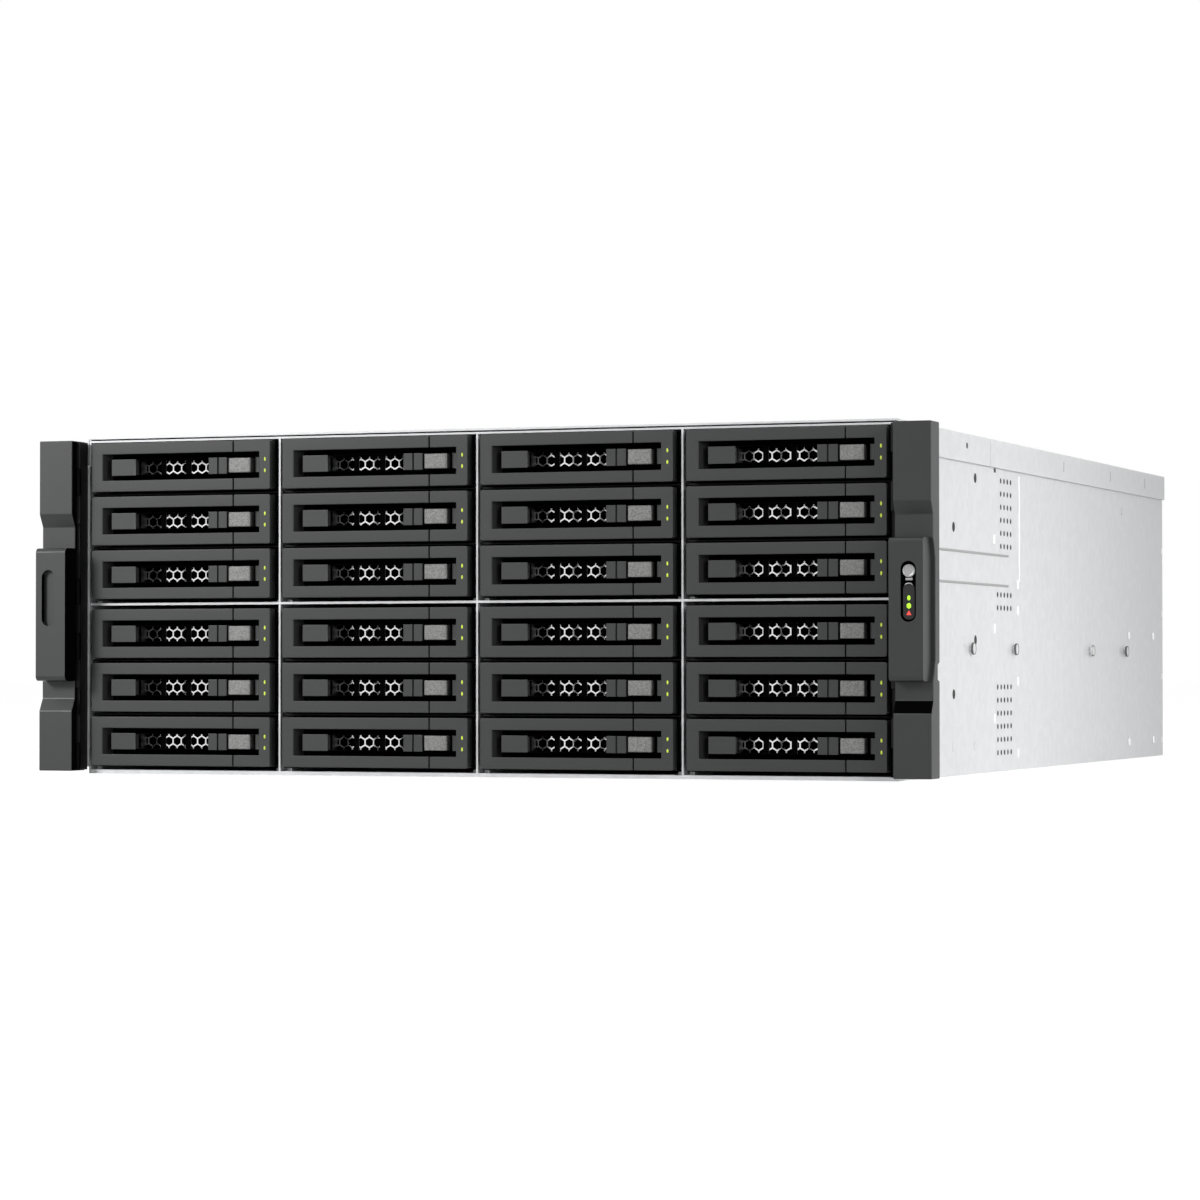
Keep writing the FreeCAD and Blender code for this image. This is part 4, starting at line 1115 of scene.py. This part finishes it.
# panel plastic and painted shade is a real dark plastic, and it also stands for painted dark shade on
# some faces and pieces
# name, colour, roughness, grain and sheen
DARK_PLASTICS = (("panel plastic and painted shade", (0.006, 0.006, 0.006), 0.45, 1.0, 0.15),
                 # painted shade: a matt black that stands for deep shade
                 ("painted black shade", (0.002, 0.002, 0.002), 0.7, 0.6, 0.0),
                 ("lamp panel", (0.016, 0.016, 0.016), 0.35, 0.6, 0.3),
                 ("fan plastic", (0.018, 0.018, 0.019), 0.45))
# name, colour, metallic, roughness and spangle
METALS = (("disk casting", (0.42, 0.43, 0.44), 0.8, 0.35, 0.04),
          ("stud steel", (0.13, 0.13, 0.13), 0.6, 0.40, 0.05),
          # painted shade: a darker steel for the shade lines of creases and slits
          ("painted shade steel", (0.36, 0.36, 0.36), 0.1, 0.50, 0.05),
          # painted highlight: a white that stands for lit edges
          ("painted highlight", (0.95, 0.95, 0.95), 0.0, 0.30, 0.03),
          ("button metal", (0.34, 0.34, 0.34), 0.8, 0.30, 0.05))
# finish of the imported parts, by the start of their names
FINISH_OF = {"tray_": "tray plastic", "lever_": "lever plastic", "chassis": "galvanised sheet",
             "drive_cage": "galvanised sheet", "top_covers": "galvanised sheet",
             "left_ear": "ear plastic", "right_ear": "ear plastic", "power_button": "button metal",
             "circuit_boards": "circuit board", "psu_": "supply steel", "fan_": "fan plastic"}


class SHELF_OT_finishes(bpy.types.Operator):
    """Materials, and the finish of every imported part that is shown"""
    bl_idname = "shelf.finishes"
    bl_label = "Finishes"

    def execute(self, context):
        c = context.scene.shelf_colours
        plastic, steel = tuple(c.plastic), tuple(c.steel)
        for name in ("lever plastic", "tray plastic"):
            moulded_plastic(name, plastic, 0.42)
        moulded_plastic("ear plastic", plastic, 0.40, 0.6)
        for finish in DARK_PLASTICS:
            moulded_plastic(*finish)
        galvanised_steel("galvanised sheet", steel)
        galvanised_steel("supply steel", tuple(0.8 * v for v in steel), 0.85, 0.36, 0.05)
        for finish in METALS:
            galvanised_steel(*finish)
        bright_steel("screen steel")
        sparkle_paint("release tab paint", tuple(c.tab))
        circuit_board("circuit board")
        lamp_lens("drive lamp", tuple(c.lamp), 0.35)
        lamp_lens("green lamp", (0.38, 0.75, 0.03), 0.8)
        lamp_lens("red lamp", (0.75, 0.06, 0.05), 0.7)
        for name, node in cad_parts.items():
            material = next(FINISH_OF[key] for key in FINISH_OF if name.startswith(key))
            node.data.materials.clear()
            node.data.materials.append(bpy.data.materials[material])
        return {"FINISHED"}


# ---- stage ----

# name, place, target, width, power and spread of each lamp
LAMPS = (("key", (-1.25, -2.1, 0.95), (-0.8, -0.3, 0.12), 0.6, 7.0, 60.0),
         ("top", (0.2, -0.2, 2.4), (0.0, 0.0, 0.09), 2.4, 20.0, 180.0),
         ("side", (1.0, -0.62, 0.42), (0.22, -0.12, 0.09), 0.5, 0.66, 40.0))


def area_lamp(name, place, target, width, power, spread):
    """A soft square lamp that points at a target; a small spread keeps its beam narrow."""
    data = bpy.data.lights.new(name, "AREA")
    data.shape = "RECTANGLE"
    data.size = data.size_y = width
    data.energy = power
    data.spread = math.radians(spread)
    lamp = new_object(name, data)
    lamp.location = place
    lamp.rotation_euler = (Vector(target) - Vector(place)).to_track_quat("-Z", "Y").to_euler()
    return lamp


class SHELF_OT_stage(bpy.types.Operator):
    """Floor, world, soft lamps and the camera"""
    bl_idname = "shelf.stage"
    bl_label = "Stage"

    def execute(self, context):
        scene = context.scene
        scene.view_settings.view_transform = "Standard"
        world = bpy.data.worlds.new("soft studio")
        world.use_nodes = True
        scene.world = world
        sky = Finish("sky", world)
        # a dim sky that is seen as white
        strength = 0.28 + 0.72 * sky.camera_mask()
        sky.add_output(sky.add("Background", None, {"Color": (1.0, 1.0, 1.0, 1.0),
                                                    "Strength": strength}), "World")

        bpy.ops.object.select_all(action="DESELECT")
        bpy.ops.mesh.primitive_plane_add(size=24.0, location=(0, 0, -0.0006))
        floor = context.object
        floor.name = "floor"
        f = Finish("studio floor")
        grain = f.noise(3.0)
        diffuse = f.add("BsdfDiffuse", None, {"Color": f.tint(tuple(scene.shelf_colours.floor),
                                                              0.99 + 0.02 * grain)})
        glow = f.add("Emission", None, {"Strength": 1.2})
        f.add_output(f.add("MixShader", None, {0: f.camera_mask() * 0.78, 1: diffuse, 2: glow}))
        floor.data.materials.append(f.holder)

        for lamp in LAMPS:
            area_lamp(*lamp)

        data = bpy.data.cameras.new("camera")
        data.lens, data.sensor_width = 115.13, 36.0
        data.clip_start, data.clip_end = 0.05, 60.0
        camera = new_object("camera", data)
        camera.location = (0.73730, -2.09486, 0.05420)
        camera.rotation_euler = [math.radians(a) for a in (91.038, 0.024, 20.532)]
        scene.camera = camera
        return {"FINISHED"}


OPERATORS = (SHELF_OT_finishes, SHELF_OT_levers, SHELF_OT_trays, SHELF_OT_release_tabs,
             SHELF_OT_screens, SHELF_OT_drive_lamps, SHELF_OT_disks, SHELF_OT_ears,
             SHELF_OT_controls, SHELF_OT_painted_gap_shade, SHELF_OT_sockets, SHELF_OT_wall_marks,
             SHELF_OT_stage)


class SHELF_PT_panel(bpy.types.Panel):
    """Sidebar list of the shelf's pieces"""
    bl_idname = "SHELF_PT_panel"
    bl_label = "Disk shelf"
    bl_space_type = "VIEW_3D"
    bl_region_type = "UI"
    bl_category = "Disk shelf"

    def draw(self, context):
        for operator in OPERATORS:
            self.layout.operator(operator.bl_idname)
        for group in (context.scene.bezel_settings, context.scene.shelf_colours):
            box = self.layout.box()
            for key in type(group).__annotations__:
                box.prop(group, key)


CLASSES = (BezelSettings, ShelfColours) + OPERATORS + (SHELF_PT_panel,)


def register():
    for cls in CLASSES:
        bpy.utils.register_class(cls)
    bpy.types.Scene.bezel_settings = bpy.props.PointerProperty(type=BezelSettings)
    bpy.types.Scene.shelf_colours = bpy.props.PointerProperty(type=ShelfColours)


def unregister():
    del bpy.types.Scene.shelf_colours
    del bpy.types.Scene.bezel_settings
    for cls in reversed(CLASSES):
        bpy.utils.unregister_class(cls)


def main():
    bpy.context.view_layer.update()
    register()
    for operator in OPERATORS:
        group, name = operator.bl_idname.split(".")
        getattr(getattr(bpy.ops, group), name)()


if __name__ == "__main__":
    main()
